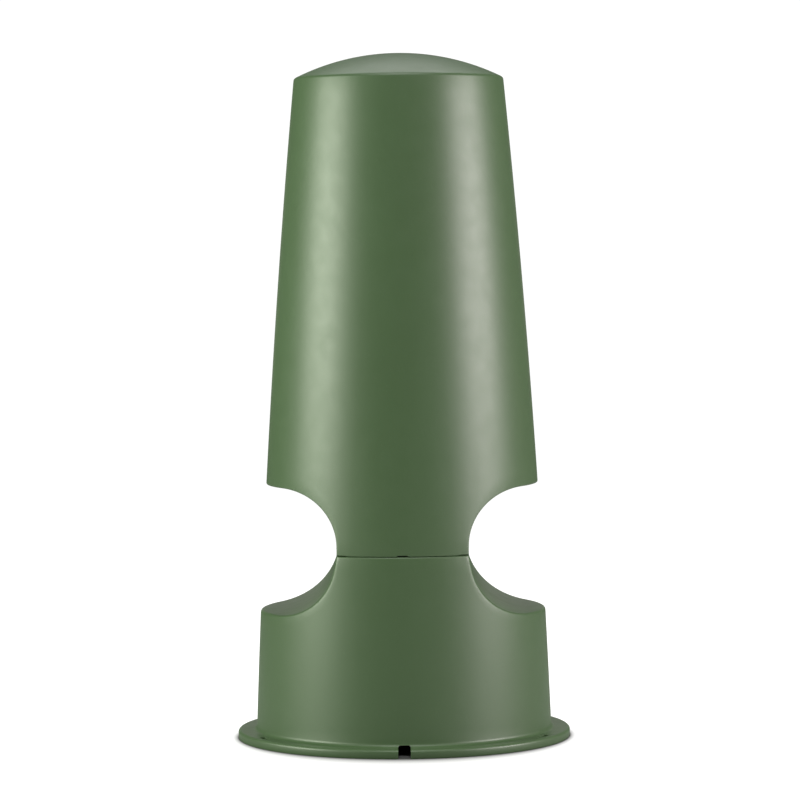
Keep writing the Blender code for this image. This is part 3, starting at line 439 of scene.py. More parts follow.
def cone_plastic():
    """Injection moulded polypropylene with mica flecks."""
    made, tree, shader = surface("cone_mica", Coat_Weight=0.15, Coat_Roughness=0.3)
    flecks = cells(tree, 1400.0)
    share = ranged(tree, flecks, 0.0, 0.35, 1, 0)
    colour = mixed(tree, share, (0.016, 0.017, 0.019), (0.085, 0.088, 0.095))
    rough = ranged(tree, flecks, 0, 0.6, 0.32, 0.5)
    connect(tree, shader, colour, rough, noise(tree, 420.0), 0.00008, 0.5)
    return made


def spider_cloth():
    """Resin dipped cotton: a plain weave stiffened by amber resin."""
    made, tree, shader = surface("spider_cloth_resin", Sheen_Weight=0.2)
    warp = waves(tree, 420.0, "X", distortion=0.6)
    weft = waves(tree, 420.0, "Y", distortion=0.6)
    weave = maths(tree, "MAXIMUM", warp, weft)
    share = ranged(tree, weave, 0.2, 1.0, 0, 1)
    colour = mixed(tree, share, (0.190, 0.110, 0.030), (0.470, 0.320, 0.120))
    pools = ranged(tree, noise(tree, 30.0, 4.0), 0.4, 0.8, 0, 0.5)
    colour = mixed(tree, pools, colour, (0.300, 0.180, 0.050))
    connect(tree, shader, colour, ranged(tree, weave, 0, 1, 0.8, 0.6), weave, 0.0003, 0.8)
    return made


def copper():
    """Enamelled winding wire, its turns stacked along Z."""
    made, tree, shader = surface("copper_enamelled", Metallic=0.9, Coat_Weight=0.5, Coat_Roughness=0.15)
    turns = waves(tree, 380.0, "Z", distortion=0.3)
    colour = mixed(tree, turns, (0.300, 0.090, 0.030), (0.750, 0.330, 0.140))
    connect(tree, shader, colour, ranged(tree, turns, 0, 1, 0.45, 0.28), turns, 0.0004, 0.9)
    return made


def braid():
    """Tinsel lead: fine copper foil braided over thread."""
    made, tree, shader = surface("tinsel_braid", Metallic=0.85)
    one = waves(tree, 500.0, "DIAGONAL", stretch=(1, 1, 1))
    two = waves(tree, 500.0, "DIAGONAL", stretch=(-1, 1, 1))
    weave = maths(tree, "MAXIMUM", one, two)
    colour = mixed(tree, weave, (0.280, 0.120, 0.050), (0.800, 0.450, 0.260))
    connect(tree, shader, colour, ranged(tree, weave, 0, 1, 0.6, 0.35), weave, 0.0002, 0.8)
    return made


def foil():
    made, tree, shader = surface("foil_former", Metallic=1.0)
    creases = noise(tree, 160.0, 5.0, distortion=1.0)
    colour = mixed(tree, creases, (0.56, 0.57, 0.58), (0.78, 0.79, 0.80))
    connect(tree, shader, colour, ranged(tree, creases, 0.3, 0.7, 0.25, 0.45), creases, 0.0001, 0.5)
    return made


def laminations():
    """Varnished silicon steel sheets stacked along X."""
    made, tree, shader = surface("core_laminations", Metallic=0.8, Coat_Weight=0.4, Coat_Roughness=0.2)
    sheets = waves(tree, 620.0, "X", distortion=0.15)
    rust = ranged(tree, noise(tree, 70.0, 5.0), 0.55, 0.8, 0, 0.7)
    colour = mixed(tree, sheets, (0.110, 0.112, 0.120), (0.340, 0.345, 0.360))
    colour = mixed(tree, rust, colour, (0.200, 0.100, 0.055))
    connect(tree, shader, colour, ranged(tree, sheets, 0, 1, 0.6, 0.4), sheets, 0.0003, 0.8)
    return made


def coil_tape():
    made, tree, shader = surface("coil_tape_amber", Coat_Weight=0.6, Coat_Roughness=0.1)
    laps = waves(tree, 60.0, "Z", distortion=0.2)
    colour = mixed(tree, ranged(tree, laps, 0.4, 0.6, 0, 1), (0.520, 0.370, 0.060), (0.660, 0.500, 0.110))
    connect(tree, shader, colour, ranged(tree, noise(tree, 90.0), 0.3, 0.7, 0.3, 0.45), laps, 0.0002, 0.6)
    return made


def circuit_board():
    """Solder mask over copper tracks and tinned pads."""
    made, tree, shader = surface("board_masked", Coat_Weight=0.7, Coat_Roughness=0.15)
    bricks = put(
        tree,
        "ShaderNodeTexBrick",
        {"Vector": place_in(tree), "Scale": 130.0, "Mortar Size": 0.035, "Mortar Smooth": 0.1},
    )
    tracks = bricks.outputs["Fac"]
    pads = ranged(tree, cells(tree, 190.0), 0.16, 0.20, 1, 0)
    colour = mixed(tree, tracks, (0.012, 0.095, 0.040), (0.030, 0.170, 0.070))
    colour = mixed(tree, pads, colour, (0.520, 0.530, 0.540))
    raised = maths(tree, "ADD", tracks, pads)
    connect(tree, shader, colour, ranged(tree, pads, 0, 1, 0.35, 0.25), raised, 0.0001)
    return made


def wadding():
    """Loose polyester fibre."""
    made, tree, shader = surface("wadding_fibre", Sheen_Weight=0.5)
    fibres = noise(tree, 260.0, 6.0, 0.7, stretch=(1, 1, 3), distortion=3.0)
    tufts = noise(tree, 40.0, 3.0)
    share = ranged(tree, fibres, 0.3, 0.7, 0, 1)
    colour = mixed(tree, share, (0.520, 0.520, 0.500), (0.860, 0.860, 0.840))
    height = maths(tree, "ADD", fibres, tufts)
    connect(tree, shader, colour, ranged(tree, fibres, 0, 1, 0.9, 1), height, 0.003, 0.9)
    return made


BLUE, BLUE_GLOSS = ((0.020, 0.032, 0.110), (0.034, 0.050, 0.150)), (0.28, 0.4)
GREEN, GREEN_GLOSS = ((0.022, 0.200, 0.060), (0.036, 0.260, 0.085)), (0.4, 0.5)
LOOKS = {
    "housing_green": housing_plastic(),
    "black_plastic": moulded("black_moulded", (0.014, 0.015, 0.016), (0.026, 0.027, 0.028)),
    "powder_coated_steel": powder_coat(),
    "stainless": stainless(),
    "zinc_plated": zinc(),
    "ferrite": ferrite(),
    "cone_poly": cone_plastic(),
    "rubber": rubber(),
    "foam": foam(),
    "spider_cloth": spider_cloth(),
    "copper": copper(),
    "aluminium": foil(),
    "core_steel": laminations(),
    "coil_tape": coil_tape(),
    "board": circuit_board(),
    "capacitor_sleeve": moulded("capacitor_sleeve_blue", *BLUE, BLUE_GLOSS),
    "terminal_green": moulded("terminal_block_green", *GREEN, GREEN_GLOSS),
    "wadding": wadding(),
}
BRAID = braid()


# ---------------------------------------------------------------- housings

LEDGE_SPANS, ARC_SPANS, SIDE_SPANS = 16, 30, 3
SEAM_STATIONS = (
    *(0.975, 0.94, 0.90, 0.855, 0.84, 0.78, 0.68, 0.58, 0.48, 0.38, 0.28, 0.18),
    *(0.086, 0.080, 0.05, 0.025, 0.0),
)


def body_radius(z):
    """Outer radius of the tapered wall, a straight taper with a slight bulge."""
    t = z / SHOULDER_Z
    return FOOT_R + (SHOULDER_R - FOOT_R) * t + 4 * BULGE * t * (1 - t)


def edge_loop(inset, offset, up):
    """The closed notch edge at a depth of inset in the wall, moved into the material by offset.

    up is 1 for the upper housing, whose notches open downwards, and -1 for the base.
    """
    arc_r = UPPER_ARC_R if up > 0 else LOWER_ARC_R
    seam_z = SEAM_Z + (SEAM_GAP if up > 0 else 0.0)
    level = SEAM_Z + up * NOTCH_HALF_HEIGHT
    centre_x = NECK_HALF_WIDTH + arc_r if up > 0 else LOWER_ARC_X
    centre_z, sweep = level - up * arc_r, math.radians(90.0 if up > 0 else LOWER_ARC_SWEEP)
    level += up * offset
    reach_r, neck, seam_z = arc_r + offset, NECK_HALF_WIDTH - offset, seam_z + up * offset
    outer_x = body_radius(level) - inset
    reach = math.acos(centre_x / outer_x)
    quarter = [(outer_x * math.cos(reach * i / LEDGE_SPANS), level) for i in range(LEDGE_SPANS)]
    for i in range(ARC_SPANS + 1):
        angle = up * (math.pi / 2 + sweep * i / ARC_SPANS)
        quarter.append((centre_x + reach_r * math.cos(angle), centre_z + reach_r * math.sin(angle)))
    arc_end = Vector(quarter[-1])
    for i in range(1, SIDE_SPANS + 1):
        quarter.append(tuple(arc_end.lerp(Vector((neck, seam_z)), i / SIDE_SPANS)))
    quarter += [(neck * station, seam_z) for station in SEAM_STATIONS]
    wall = [(x, math.sqrt(max((body_radius(z) - inset) ** 2 - x * x, 0.0)), z) for x, z in quarter]
    half = wall + [(-x, y, z) for x, y, z in reversed(wall[:-1])]
    return [Vector(p) for p in half] + [Vector((x, -y, z)) for x, y, z in reversed(half[1:-1])]


def outer_corner_weight(index, count):
    """1 along the notch's outer end, fading to 0 round its arc."""
    place = index % (count // 2)
    place = min(place, count // 2 - place)
    return max(0.0, min(1.0, 1.6 - place / LEDGE_SPANS * 1.1)) if place < 2 * LEDGE_SPANS else 0.0


def between(small, large):
    """Two loops mixed, so that rounding is large at the notch's outer end and small elsewhere."""
    count = len(small)
    return [a.lerp(b, outer_corner_weight(i, count)) for i, (a, b) in enumerate(zip(small, large))]


def turn_at(a, corner, b, t):
    """The point at t, from 0 to 1, on the curve that leaves a for b round the corner."""
    return a * (1 - t) ** 2 + corner * 2 * t * (1 - t) + b * t * t


def rounding(first, corner, last, steps=4):
    """Loops that turn smoothly from first round the corner to last."""
    triples = list(zip(first, corner, last))
    return [[turn_at(*triple, k / steps) for triple in triples] for k in range(steps + 1)]


def wall_rows(edge, inset, end_z, rows):
    """Rows up or down the wall from below the edge to end_z, drifting to even spacing."""
    count = len(edge)
    made = []
    for row in range(1, rows + 1):
        share = row / rows
        drift_left = (1 - share) ** 1.5
        loop = []
        for i, point in enumerate(edge):
            even = 2 * math.pi * i / count
            drift = (math.atan2(point.y, point.x) - even + math.pi) % (2 * math.pi) - math.pi
            angle = even + drift * drift_left
            z = point.z + (end_z - point.z) * share
            r = body_radius(z) - inset
            loop.append(Vector((r * math.cos(angle), r * math.sin(angle), z)))
        made.append(loop)
    return made


def arch_edge(up, small, large):
    """The rounded outer edge of a notch, from the wall to the cut surface."""
    first = between(edge_loop(0, small, up), edge_loop(0, large, up))
    last = between(edge_loop(small, 0, up), edge_loop(large, 0, up))
    return rounding(first, edge_loop(0, 0, up), last)


def seam_lift(loop):
    """Raises the upper housing's seam edge for the pry slot in front and slightly beside the notches."""
    for p in loop:
        if p.z > SEAM_Z + 3 * MM:
            continue
        if p.y < 0 and abs(p.x) < PRY_SLOT_HALF:
            p.z += PRY_SLOT_HEIGHT
        if abs(p.x) > SEAM_END_X:
            p.z += SEAM_END_LIFT
    return loop


def cap_z(r, rim_r, rim_z, top_z):
    """Height at radius r of the shallow dome with that rim and top."""
    rise = top_z - rim_z
    sphere_r = (rim_r**2 + rise**2) / (2 * rise)
    return top_z - sphere_r + math.sqrt(sphere_r**2 - r * r)


def upper_housing():
    """The cup with its crisp shoulder and shallow domed top."""
    thin = 0.4 * MM
    outer = [seam_lift(loop) for loop in arch_edge(1, 0.7 * MM, 2.2 * MM)]
    inner = rounding(edge_loop(WALL - thin, 0, 1), edge_loop(WALL, 0, 1), edge_loop(WALL, thin, 1), 2)
    inner = [seam_lift(loop) for loop in inner]
    count = len(outer[0])

    def dome_z(r):
        return cap_z(r, SHOULDER_R, SHOULDER_Z, HEIGHT)

    wall_top = SHOULDER_Z - 2.2 * MM
    a, c = Vector((body_radius(wall_top), wall_top)), Vector((SHOULDER_R, SHOULDER_Z))
    b = Vector((SHOULDER_R - 2.6 * MM, dome_z(SHOULDER_R - 2.6 * MM)))
    shoulder = [turn_at(a, c, b, t) for t in (0.2, 0.4, 0.6, 0.8, 1.0)]
    dome = [ring(r, z, count) for r, z in shoulder]
    steps = 18
    radii = [b.x * (1 - i / steps) for i in range(1, steps)]
    dome += [ring(r, dome_z(r), count) for r in radii] + [[Vector((0, 0, HEIGHT))]]
    inner_top = SHOULDER_Z - WALL / 2
    inner_r = body_radius(inner_top) - WALL
    ceiling = HEIGHT - WALL
    radii = [inner_r * (1 - i / 6) for i in range(1, 6)]
    under = [ring(r, cap_z(r, inner_r, inner_top, ceiling), count) for r in radii]
    under.append([Vector((0, 0, ceiling))])
    outside = [*reversed(wall_rows(outer[0], 0, wall_top, 30))]
    inside = wall_rows(inner[-1], WALL, inner_top, 8)
    bm = bmesh.new()
    skin_into(bm, [*reversed(dome), *outside, *outer, *inner, *inside, *under])
    bmesh.ops.recalc_face_normals(bm, faces=bm.faces)
    fixed("upper_housing_shell", bm, HOUSING, "housing_green", ["upper_housing"], 50)


def strips_into(bm, edge):
    """Closes a notch edge with straight strips along Y: the saddles and the flat deck."""
    count = len(edge)
    for i in range(count // 2):
        strip = [edge[i], edge[i + 1], edge[(count - i - 1) % count], edge[(count - i) % count]]
        bm.faces.new(list(dict.fromkeys(strip)))


def cable_slot_into(bm):
    half, top, corner = CABLE_SLOT_WIDTH / 2, CABLE_SLOT_HEIGHT, 2.0 * MM
    outline = [(-half, -0.010), (half, -0.010)]
    for centre, start in ((half - corner, 0), (corner - half, 90)):
        for i in range(6):
            a = math.radians(start + 18 * i)
            outline.append((centre + corner * math.cos(a), top - corner + corner * math.sin(a)))
    prism_into(bm, outline, lambda u, v, w: (u, -0.185 + 0.050 * w, v))


def anchor_slots_into(bm):
    for side in (0, 180):
        for offset in (-ANCHOR_SLOT_ANGLE, ANCHOR_SLOT_ANGLE):
            turn = Matrix.Rotation(math.radians(side + offset), 3, "Z")

            def place(u, v, w, turn=turn):
                return turn @ Vector((ANCHOR_SLOT_R + v, u, -0.005 + 0.025 * w))

            prism_into(bm, stadium(17 * MM, 7 * MM), place)


def base_rings(count):
    """The foot: a fillet, the flange with its rounded rim, and the hollow underneath."""
    fillet_top = FLANGE_HEIGHT + FLANGE_FILLET
    start_r = body_radius(fillet_top)
    made = []
    for i in range(1, 7):
        a = math.radians(15 * i)
        r = start_r + FLANGE_FILLET * (1 - math.cos(a))
        made.append((r, fillet_top - FLANGE_FILLET * math.sin(a)))
    rim, corner = 3.0 * MM, 0.5 * MM
    made += [(FLANGE_R - 8 * MM, FLANGE_HEIGHT), (FLANGE_R - 4 * MM, FLANGE_HEIGHT)]
    for i in range(6):
        a = math.radians(18 * i)
        made.append((FLANGE_R - rim + rim * math.sin(a), FLANGE_HEIGHT - rim + rim * math.cos(a)))
    made += [(FLANGE_R, corner), (FLANGE_R - 0.15 * MM, 0.15 * MM), (FLANGE_R - corner, 0.0)]
    inner_r = body_radius(FLANGE_HEIGHT) - WALL
    made += [
        (FLANGE_R - FLANGE_LIP, 0.0),
        (FLANGE_R - FLANGE_LIP, FLANGE_HEIGHT - FLANGE_PLATE),
        (inner_r + 0.6 * MM, FLANGE_HEIGHT - FLANGE_PLATE),
        (inner_r, FLANGE_HEIGHT - FLANGE_PLATE + 0.6 * MM),
    ]
    return [ring(r, z, count) for r, z in made]


def base_housing():
    """The flanged skirt under its two saddles and the deck of the neck."""
    outer = arch_edge(-1, 2.4 * MM, 3.8 * MM)
    inner_edge = edge_loop(WALL, WALL, -1)
    count = len(inner_edge)
    fillet_top = FLANGE_HEIGHT + FLANGE_FILLET
    bm = bmesh.new()
    rows = [*reversed(outer), *wall_rows(outer[0], 0, fillet_top, 16), *base_rings(count)]
    inside = [*reversed([inner_edge, *wall_rows(inner_edge, WALL, fillet_top, 6)])]
    made = skin_into(bm, [*rows, *inside])
    strips_into(bm, made[0])
    strips_into(bm, made[-1])

    def holes_into(bm):
        low, high = SEAM_Z - 16 * MM, SEAM_Z + 14 * MM
        for x in (-TIE_SCREW_X, TIE_SCREW_X):
            for y in (-TIE_SCREW_Y, TIE_SCREW_Y):
                rod_into(bm, (x, y, low), (x, y, high), 3.2 * MM)
        rod_into(bm, (0, LEAD_Y, low), (0, LEAD_Y, high), 6.3 * MM, 24)

    bm = carved(bm, cable_slot_into, anchor_slots_into, holes_into)
    fixed("base_housing_shell", bm, HOUSING, "housing_green", ["base_housing"], 40)


# ---------------------------------------------------------------- grilles

RECESS, SHEET = 1.0 * MM, 1.2 * MM


def grille(side, sign):
    """A bent sheet behind each notch, with staggered slots between its ribs."""
    arc_r = UPPER_ARC_R + RECESS
    centre = (NECK_HALF_WIDTH + UPPER_ARC_R, SEAM_Z + NOTCH_HALF_HEIGHT - UPPER_ARC_R)
    start_z, end_x = SEAM_Z + 0.5 * MM, 0.1318
    straight, arc = centre[1] - start_z, arc_r * math.pi / 2
    total = straight + arc + end_x - centre[0]

    def place(s, depth):
        """(x, z) at s along the sheet's outer face and depth into the sheet."""
        if s < straight:
            return NECK_HALF_WIDTH - RECESS - depth, start_z + s
        if s < straight + arc:
            a = math.pi - (s - straight) / arc_r
            return centre[0] + (arc_r + depth) * math.cos(a), centre[1] + (arc_r + depth) * math.sin(a)
        return centre[0] + s - straight - arc, centre[1] + arc_r + depth

    def reach(s):
        x, z = place(s, 0)
        return math.sqrt((body_radius(z) - WALL - 1.0 * MM) ** 2 - x * x)

    stations = [total * i / 72 for i in range(73)]
    bm = bmesh.new()
    rows = []
    for s in stations:
        section = ((-reach(s), 0), (reach(s), 0), (reach(s), SHEET), (-reach(s), SHEET))
        rows.append([bm.verts.new((s, y, depth)) for y, depth in section])
    for a, b in zip(rows, rows[1:]):
        for i in range(4):
            j = (i + 1) % 4
            bm.faces.new((a[i], a[j], b[j], b[i]))
    bm.faces.new(rows[0])
    bm.faces.new(list(reversed(rows[-1])))

    def slots_into(bm):
        pitch, high, long, rib = 6.6 * MM, 3.6 * MM, 20 * MM, 4.5 * MM
        for row in range(13):
            s = 11 * MM + row * pitch
            room = min(reach(s - high), reach(s + high)) - 6 * MM
            shift = (long + rib) / 2 if row % 2 else 0.0
            for k in range(-6, 7):
                y = shift + k * (long + rib)
                clear = abs(abs(y) - GRILLE_SCREW_Y) > 16 * MM or s < straight + arc - 14 * MM
                if abs(y) + long / 2 >= room or not clear:
                    continue

                def at(u, v, w, s=s, y=y):
                    return s + v, y + u, -0.002 + 0.005 * w

                prism_into(bm, stadium(long, high), at)

    def screw_holes_into(bm):
        for y in (-GRILLE_SCREW_Y, GRILLE_SCREW_Y):
            s = straight + arc - 0.3 * MM
            rod_into(bm, (s, y, -0.002), (s, y, 0.003), 1.9 * MM)

    bm = carved(bm, slots_into, screw_holes_into)
    for vert in bm.verts:
        x, z = place(vert.co.x, vert.co.z)
        vert.co = (sign * x, vert.co.y, z)
    bmesh.ops.recalc_face_normals(bm, faces=bm.faces)
    fixed(f"grille_{side}_sheet", bm, HOUSING, "powder_coated_steel", [f"grille_{side}"], 30)


# ---------------------------------------------------------------- woofer's soft parts, and the seals

CLEAR = 0.3 * MM
FRAME_Z = 0.2812
BAFFLE_Z = 0.2860
WOOFER_SCREW_R = 0.1005
CASE_RIM_Z = 0.1892
CASE_HALF_X, CASE_HALF_Y, CASE_WALL = 0.0560, 0.0620, 0.0030
COIL_R = 0.0198


def smooth_route(points, step):
    """Points about step apart along a Catmull-Rom curve through the given ones."""
    stations = [Vector(p) for p in points]
    ends = [2 * stations[0] - stations[1], *stations, 2 * stations[-1] - stations[-2]]
    route = [stations[0]]
    for a, b, c, d in zip(ends, ends[1:], ends[2:], ends[3:]):
        count = max(1, round((c - b).length / step))
        for i in range(1, count + 1):
            t = i / count
            bend = (2 * a - 5 * b + 4 * c - d) * t * t + (3 * b - a - 3 * c + d) * t**3
            route.append(0.5 * (2 * b + (c - a) * t + bend))
    return route


def tube_into(bm, route, radius, sides=12):
    """A round tube along the route, its ends capped."""
    side = (route[1] - route[0]).orthogonal().normalized()
    loops = []
    for i, point in enumerate(route):
        along = (route[min(i + 1, len(route) - 1)] - route[max(i - 1, 0)]).normalized()
        side = (side - along * side.dot(along)).normalized()
        other = along.cross(side)
        turns = [2 * math.pi * k / sides for k in range(sides)]
        loops.append([point + (side * math.cos(a) + other * math.sin(a)) * radius for a in turns])
    made = skin_into(bm, loops)
    bm.faces.new(list(reversed(made[0])))
    bm.faces.new(made[-1])
    bmesh.ops.recalc_face_normals(bm, faces=bm.faces)


def flexing(name, bm, slot, node):
    """A piece that sits between the housing and the cone, shaded with its slot's material, with its
    transform baked and its CAD node hidden.
    """
    made = shaded(name, bm, slot, 60.0)
    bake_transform(made)
    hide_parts(node)
    return made


def flex_by_radius(made, held_r, moved_r):
    """Works out each vertex's share of the way from the held radius to the moved radius; the share is not
    used.
    """
    for vert in made.data.vertices:
        t = (held_r - math.hypot(vert.co.x, vert.co.y)) / (held_r - moved_r)
        t = max(0.0, min(1.0, t))


def surround():
    """The half roll of rubber from the cone's rim to the frame."""
    middle_r, roll_r, thick = 85.75 * MM, 6.2 * MM, 0.9 * MM
    inner_r, outer_r, moved_r, held_r = 76.0 * MM, 96.4 * MM, 79.5 * MM, 92.0 * MM
    high_z = FRAME_Z - CLEAR
    low_z = high_z - thick
    turns = [math.pi + math.pi * i / 20 for i in range(21)]

    def roll(r):
        return [(middle_r + r * math.cos(a), low_z + r * math.sin(a)) for a in turns]

    inner = roll(roll_r - thick)
    top = [(inner[0][0], high_z), *inner[1:-1], (inner[-1][0], high_z)]
    profile = [(inner_r, high_z), *top, (outer_r, high_z), (outer_r, low_z)]
    profile += [*reversed(roll(roll_r)), (inner_r, low_z)]
    made = flexing("surround_roll", turned(profile, 120), "rubber", "surround")
    flex_by_radius(made, held_r, moved_r)


def spider():
    """The corrugated cloth disc round the voice coil."""
    thick, collar, level = 0.7 * MM, 0.3205, 0.3213
    waves_from, waves_to, wave_count, steps = 25.5 * MM, 53.0 * MM, 5, 56
    upper = [(COIL_R + CLEAR, collar + thick), (24.0 * MM, collar + thick)]
    for i in range(steps + 1):
        share = i / steps
        fade = min(1, 6 * share, 6 * (1 - share))
        swing = 1.0 * MM * math.sin(share * wave_count * 2 * math.pi) * fade
        upper.append((waves_from + (waves_to - waves_from) * share, level - 0.15 * MM + swing + thick))
    upper += [(54.5 * MM, level + thick), (61.0 * MM, level + thick)]
    profile = upper + [(r, z - thick) for r, z in reversed(upper)]
    held_r, moved_r = 55.0 * MM, 22.0 * MM
    made = flexing("spider_disc", turned(profile), "spider_cloth", "spider")
    flex_by_radius(made, held_r, moved_r)


def tinsel_leads():
    for word, sign in (("left", -1), ("right", 1)):
        points = [
            (sign * 18.0 * MM, 75.1 * MM, 0.3130),
            (sign * 16.5 * MM, 68.0 * MM, 0.3105),
            (sign * 14.0 * MM, 58.0 * MM, 0.3045),
            (sign * 11.0 * MM, 48.0 * MM, 0.3040),
            (sign * 8.0 * MM, 38.0 * MM, 0.3082),
        ]
        bm = bmesh.new()
        tube_into(bm, smooth_route(points, 1.5 * MM), 0.68 * MM)
        node = f"tinsel_lead_{word}"
        made = flexing(f"{node}_braid", bm, "copper", node)
        made.data.materials[0] = BRAID


def squeezed_section(near, far, low, high):
    """Section of a foam strip pressed between two faces, its free sides bulging."""
    corners = [(near, low), (near, high), (far, high), (far, low)]
    return eased(corners, (high - low) * 0.45, 4)


def woofer_gasket():
    low, high = FRAME_Z + 3.0 * MM + CLEAR, BAFFLE_Z - CLEAR
    bm = turned(squeezed_section(95.6 * MM, 104.5 * MM, low, high), 120)

    def holes_into(cutter):
        side = WOOFER_SCREW_R * math.sqrt(0.5)
        for x in (-side, side):
            for y in (-side, side):
                rod_into(cutter, (x, y, low - 2 * MM), (x, y, high + 2 * MM), 2.3 * MM)

    made = fixed("woofer_gasket_foam", carved(bm, holes_into), HOUSING, "foam", ["woofer_gasket"], 60)


def box_loop(half_x, half_y, corner, z, steps=5):
    """A rectangle about the axis with rounded corners."""
    loop = []
    for quarter, (side_x, side_y) in enumerate(((1, 1), (-1, 1), (-1, -1), (1, -1))):
        for i in range(steps + 1):
            a = math.radians(90 * (quarter + i / steps))
            x, y = side_x * (half_x - corner), side_y * (half_y - corner)
            loop.append(Vector((x + corner * math.cos(a), y + corner * math.sin(a), z)))
    return loop


def case_gasket():
    low, high = CASE_RIM_Z + CLEAR, SEAM_Z - WALL - CLEAR
    loops = []
    for depth, z in squeezed_section(0, CASE_WALL, low, high):
        loops.append(box_loop(CASE_HALF_X - depth, CASE_HALF_Y - depth, 5 * MM - depth, z))
    made = fixed("case_gasket_foam", closed_skin(loops), HOUSING, "foam", ["case_gasket"], 60)


def wadding_sleeve():
    """Loose polyester fibre round the inside of the rear chamber, tufted and uneven."""
    count, rows = 144, 60
    low, high, thick = 0.400, 0.640, 11.0 * MM
    outside, inside = [], []
    for k in range(rows + 1):
        z = low + (high - low) * k / rows
        wall = body_radius(z) - WALL - 1.0 * MM
        hem = min(1.0, 8 * k / rows, 8 * (1 - k / rows))
        outer_loop, inner_loop = [], []
        for i in range(count):
            a = 2 * math.pi * i / count
            tuft = math.sin(9 * a + 21 * k / rows) * math.sin(5 * a - 34 * k / rows)
            tuft += 0.5 * math.sin(17 * a + 9 * k / rows)
            depth = (thick - 1.6 * MM + 1.0 * MM * tuft) * (0.45 + 0.55 * math.sqrt(hem))
            outer_loop.append(Vector((wall * math.cos(a), wall * math.sin(a), z)))
            inner_loop.append(Vector(((wall - depth) * math.cos(a), (wall - depth) * math.sin(a), z)))
        outside.append(outer_loop)
        inside.append(inner_loop)
    skin = closed_skin([*outside, *reversed(inside)])
    sleeve = fixed("wadding_sleeve", skin, HOUSING, "wadding", ["damping_lining"])


# ---------------------------------------------------------------- camera, light and floor


def camera():
    data = bpy.data.cameras.new("camera")
    made = bpy.data.objects.new("camera", data)
    bpy.context.scene.collection.objects.link(made)
    bpy.context.scene.camera = made
    place, target = Vector((-0.0013, -3.561, 0.504)), Vector((-0.0013, 0.0, 0.3453))
    data.sensor_width = 36.0
    data.lens = 156.3
    roll = Matrix.Rotation(math.radians(-0.52), 4, "Z")
    look = (target - place).to_track_quat("-Z", "Y").to_matrix().to_4x4()
    made.matrix_world = Matrix.Translation(place) @ look @ roll


def softbox(name, place, target, size, power, colour=(1, 1, 1)):
    data = bpy.data.lights.new(name, "AREA")
    data.shape = "RECTANGLE"
    data.size, data.size_y = size
    data.energy = power
    data.color = colour
    made = bpy.data.objects.new(name, data)
    made.location = place
    made.rotation_euler = (Vector(target) - Vector(place)).to_track_quat("-Z", "Y").to_euler()
    bpy.context.scene.collection.objects.link(made)


def lights():
    softbox("strip_left", (-1.91, -0.58, 0.76), (0, 0, 0.50), (1.18, 0.92), 43, (0.94, 1.0, 0.84))
    softbox("strip_right", (1.91, -0.58, 0.76), (0, 0, 0.50), (1.18, 0.92), 41, (1.0, 0.95, 0.93))
    softbox("overhead", (0, 1.0, 2.2), (0, 0, 0.5), (1.6, 0.9), 12)
    softbox("front_top", (0, -1.2, 2.6), (0, 0, 0.2), (1.6, 0.8), 28)
    softbox("low_back", (0, 2.0, 0.50), (0, 0, 0.15), (1.6, 0.5), 1.5, (1.0, 0.93, 0.90))


def world():
    made = bpy.data.worlds.new("studio")
    bpy.context.scene.world = made
    made.use_nodes = True
    tree = made.node_tree
    back = tree.nodes["Background"]
    seen = put(tree, "ShaderNodeLightPath").outputs["Is Camera Ray"]
    back.inputs["Color"].default_value = (1, 1, 1, 1)
    tree.links.new(ranged(tree, seen, 0, 1, 0.11, 1.05), back.inputs["Strength"])


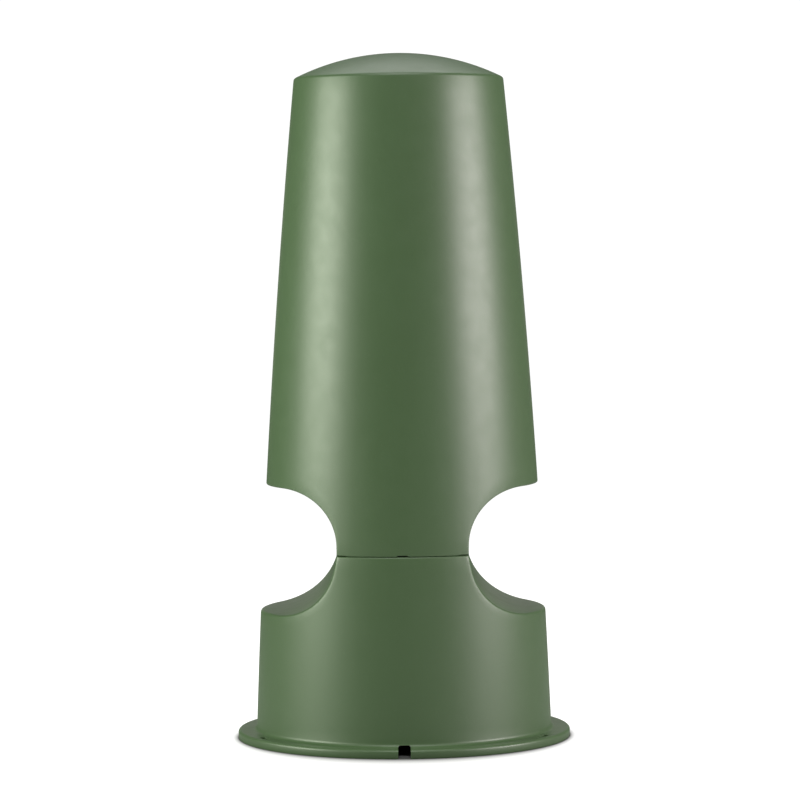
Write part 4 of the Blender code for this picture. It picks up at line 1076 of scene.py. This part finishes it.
def floor():
    """A plain white sweep, as bright as the backdrop away from the part, with a painted contact shadow
    that darkens its colour and glow near the flange and reaches further in front.
    """
    made, tree, shader = surface("floor_white", Roughness=0.8, Specular_IOR_Level=0.1)
    shader.inputs["Emission Color"].default_value = (1, 1, 1, 1)
    away = put(tree, "ShaderNodeVectorMath", {0: place_in(tree)}, operation="LENGTH").outputs["Value"]
    beside = put(tree, "ShaderNodeSeparateXYZ", {"Vector": place_in(tree)}).outputs["Y"]
    front = maths(tree, "POWER", ranged(tree, maths(tree, "DIVIDE", beside, away), 0, -1, 0, 1), 2.5)
    reach = ranged(tree, front, 0, 1, 0.004, 0.025)
    past = maths(tree, "DIVIDE", maths(tree, "SUBTRACT", away, FLANGE_R), reach)
    # Painted contact shadow: shade is 1 at and inside the flange's edge and falls off outwards, over a
    # longer reach in front.
    shade = maths(tree, "POWER", math.e, maths(tree, "MULTIPLY", maths(tree, "MAXIMUM", past, 0), -1))
    cloud = ranged(tree, noise(tree, 4.0), 0, 1, 0, 0.02)
    # Painted shadow: the floor's colour darkens from 0.34 to 0.12 towards the flange, with a faint cloud
    # added.
    grain = maths(tree, "ADD", ranged(tree, shade, 0, 1, 0.34, 0.12), cloud)
    floor_tone_with_painted_shadow = put(tree, "ShaderNodeCombineColor", {"Red": grain, "Green": grain, "Blue": grain})
    tree.links.new(floor_tone_with_painted_shadow.outputs["Color"], shader.inputs["Base Color"])
    # Painted shadow in the glow: the emission fades to nothing at the flange and inside it.
    glow = ranged(tree, shade, 0, 1, 1.0, 0.0)
    seen = ranged(tree, put(tree, "ShaderNodeLightPath").outputs["Is Camera Ray"], 0, 1, 0.1, 1.0)
    tree.links.new(maths(tree, "MULTIPLY", glow, seen), shader.inputs["Emission Strength"])
    bm = bmesh.new()
    bmesh.ops.create_circle(bm, cap_ends=True, radius=2.2, segments=96)
    bmesh.ops.translate(bm, verts=bm.verts, vec=(0, 0, -0.0002))
    plane = linked("floor", bm)
    plane.data.materials.append(made)


def smooth_shading(angle=34.0):
    """Nodes for a modifier that shades smoothly across gentle edges and leaves the crisp ones."""
    tree = bpy.data.node_groups.new("smooth_by_angle", "GeometryNodeTree")
    for way in ("INPUT", "OUTPUT"):
        tree.interface.new_socket("Geometry", in_out=way, socket_type="NodeSocketGeometry")
    shape = put(tree, "NodeGroupInput").outputs["Geometry"]
    for attribute in ("custom_normal", "sharp_edge", "sharp_face"):
        inputs = {"Geometry": shape, "Name": attribute}
        shape = put(tree, "GeometryNodeRemoveAttribute", inputs).outputs["Geometry"]
    inputs = {"Geometry": shape, "Distance": 1e-6}
    shape = put(tree, "GeometryNodeMergeByDistance", inputs).outputs["Geometry"]
    bend = put(tree, "GeometryNodeInputMeshEdgeAngle").outputs["Unsigned Angle"]
    gentle = maths(tree, "LESS_THAN", bend, math.radians(angle))
    inputs = {"Geometry": shape, "Shade Smooth": gentle}
    shape = put(tree, "GeometryNodeSetShadeSmooth", inputs, domain="EDGE").outputs["Geometry"]
    put(tree, "NodeGroupOutput", {"Geometry": shape})
    return tree


def dress(node, material, shading):
    """Gives a CAD node its finished material and smooth shading. Its shape stays."""
    made = frame["nodes"][node]
    for place in made.material_slots:
        place.link = "OBJECT"
        place.material = material
    made.modifiers.new("Shading", "NODES").node_group = shading


def main():
    bpy.context.scene.view_settings.view_transform = "Standard"
    camera()
    lights()
    world()
    floor()
    shading = smooth_shading()
    for part in frame["record"]["subparts"]:
        material = BRAID if part["node"].startswith("tinsel") else LOOKS[part["material_slot"]]
        dress(part["node"], material, shading)
    upper_housing()
    base_housing()
    for side, sign in (("left", -1), ("right", 1)):
        grille(side, sign)
    surround()
    spider()
    tinsel_leads()
    woofer_gasket()
    case_gasket()
    wadding_sleeve()


main()
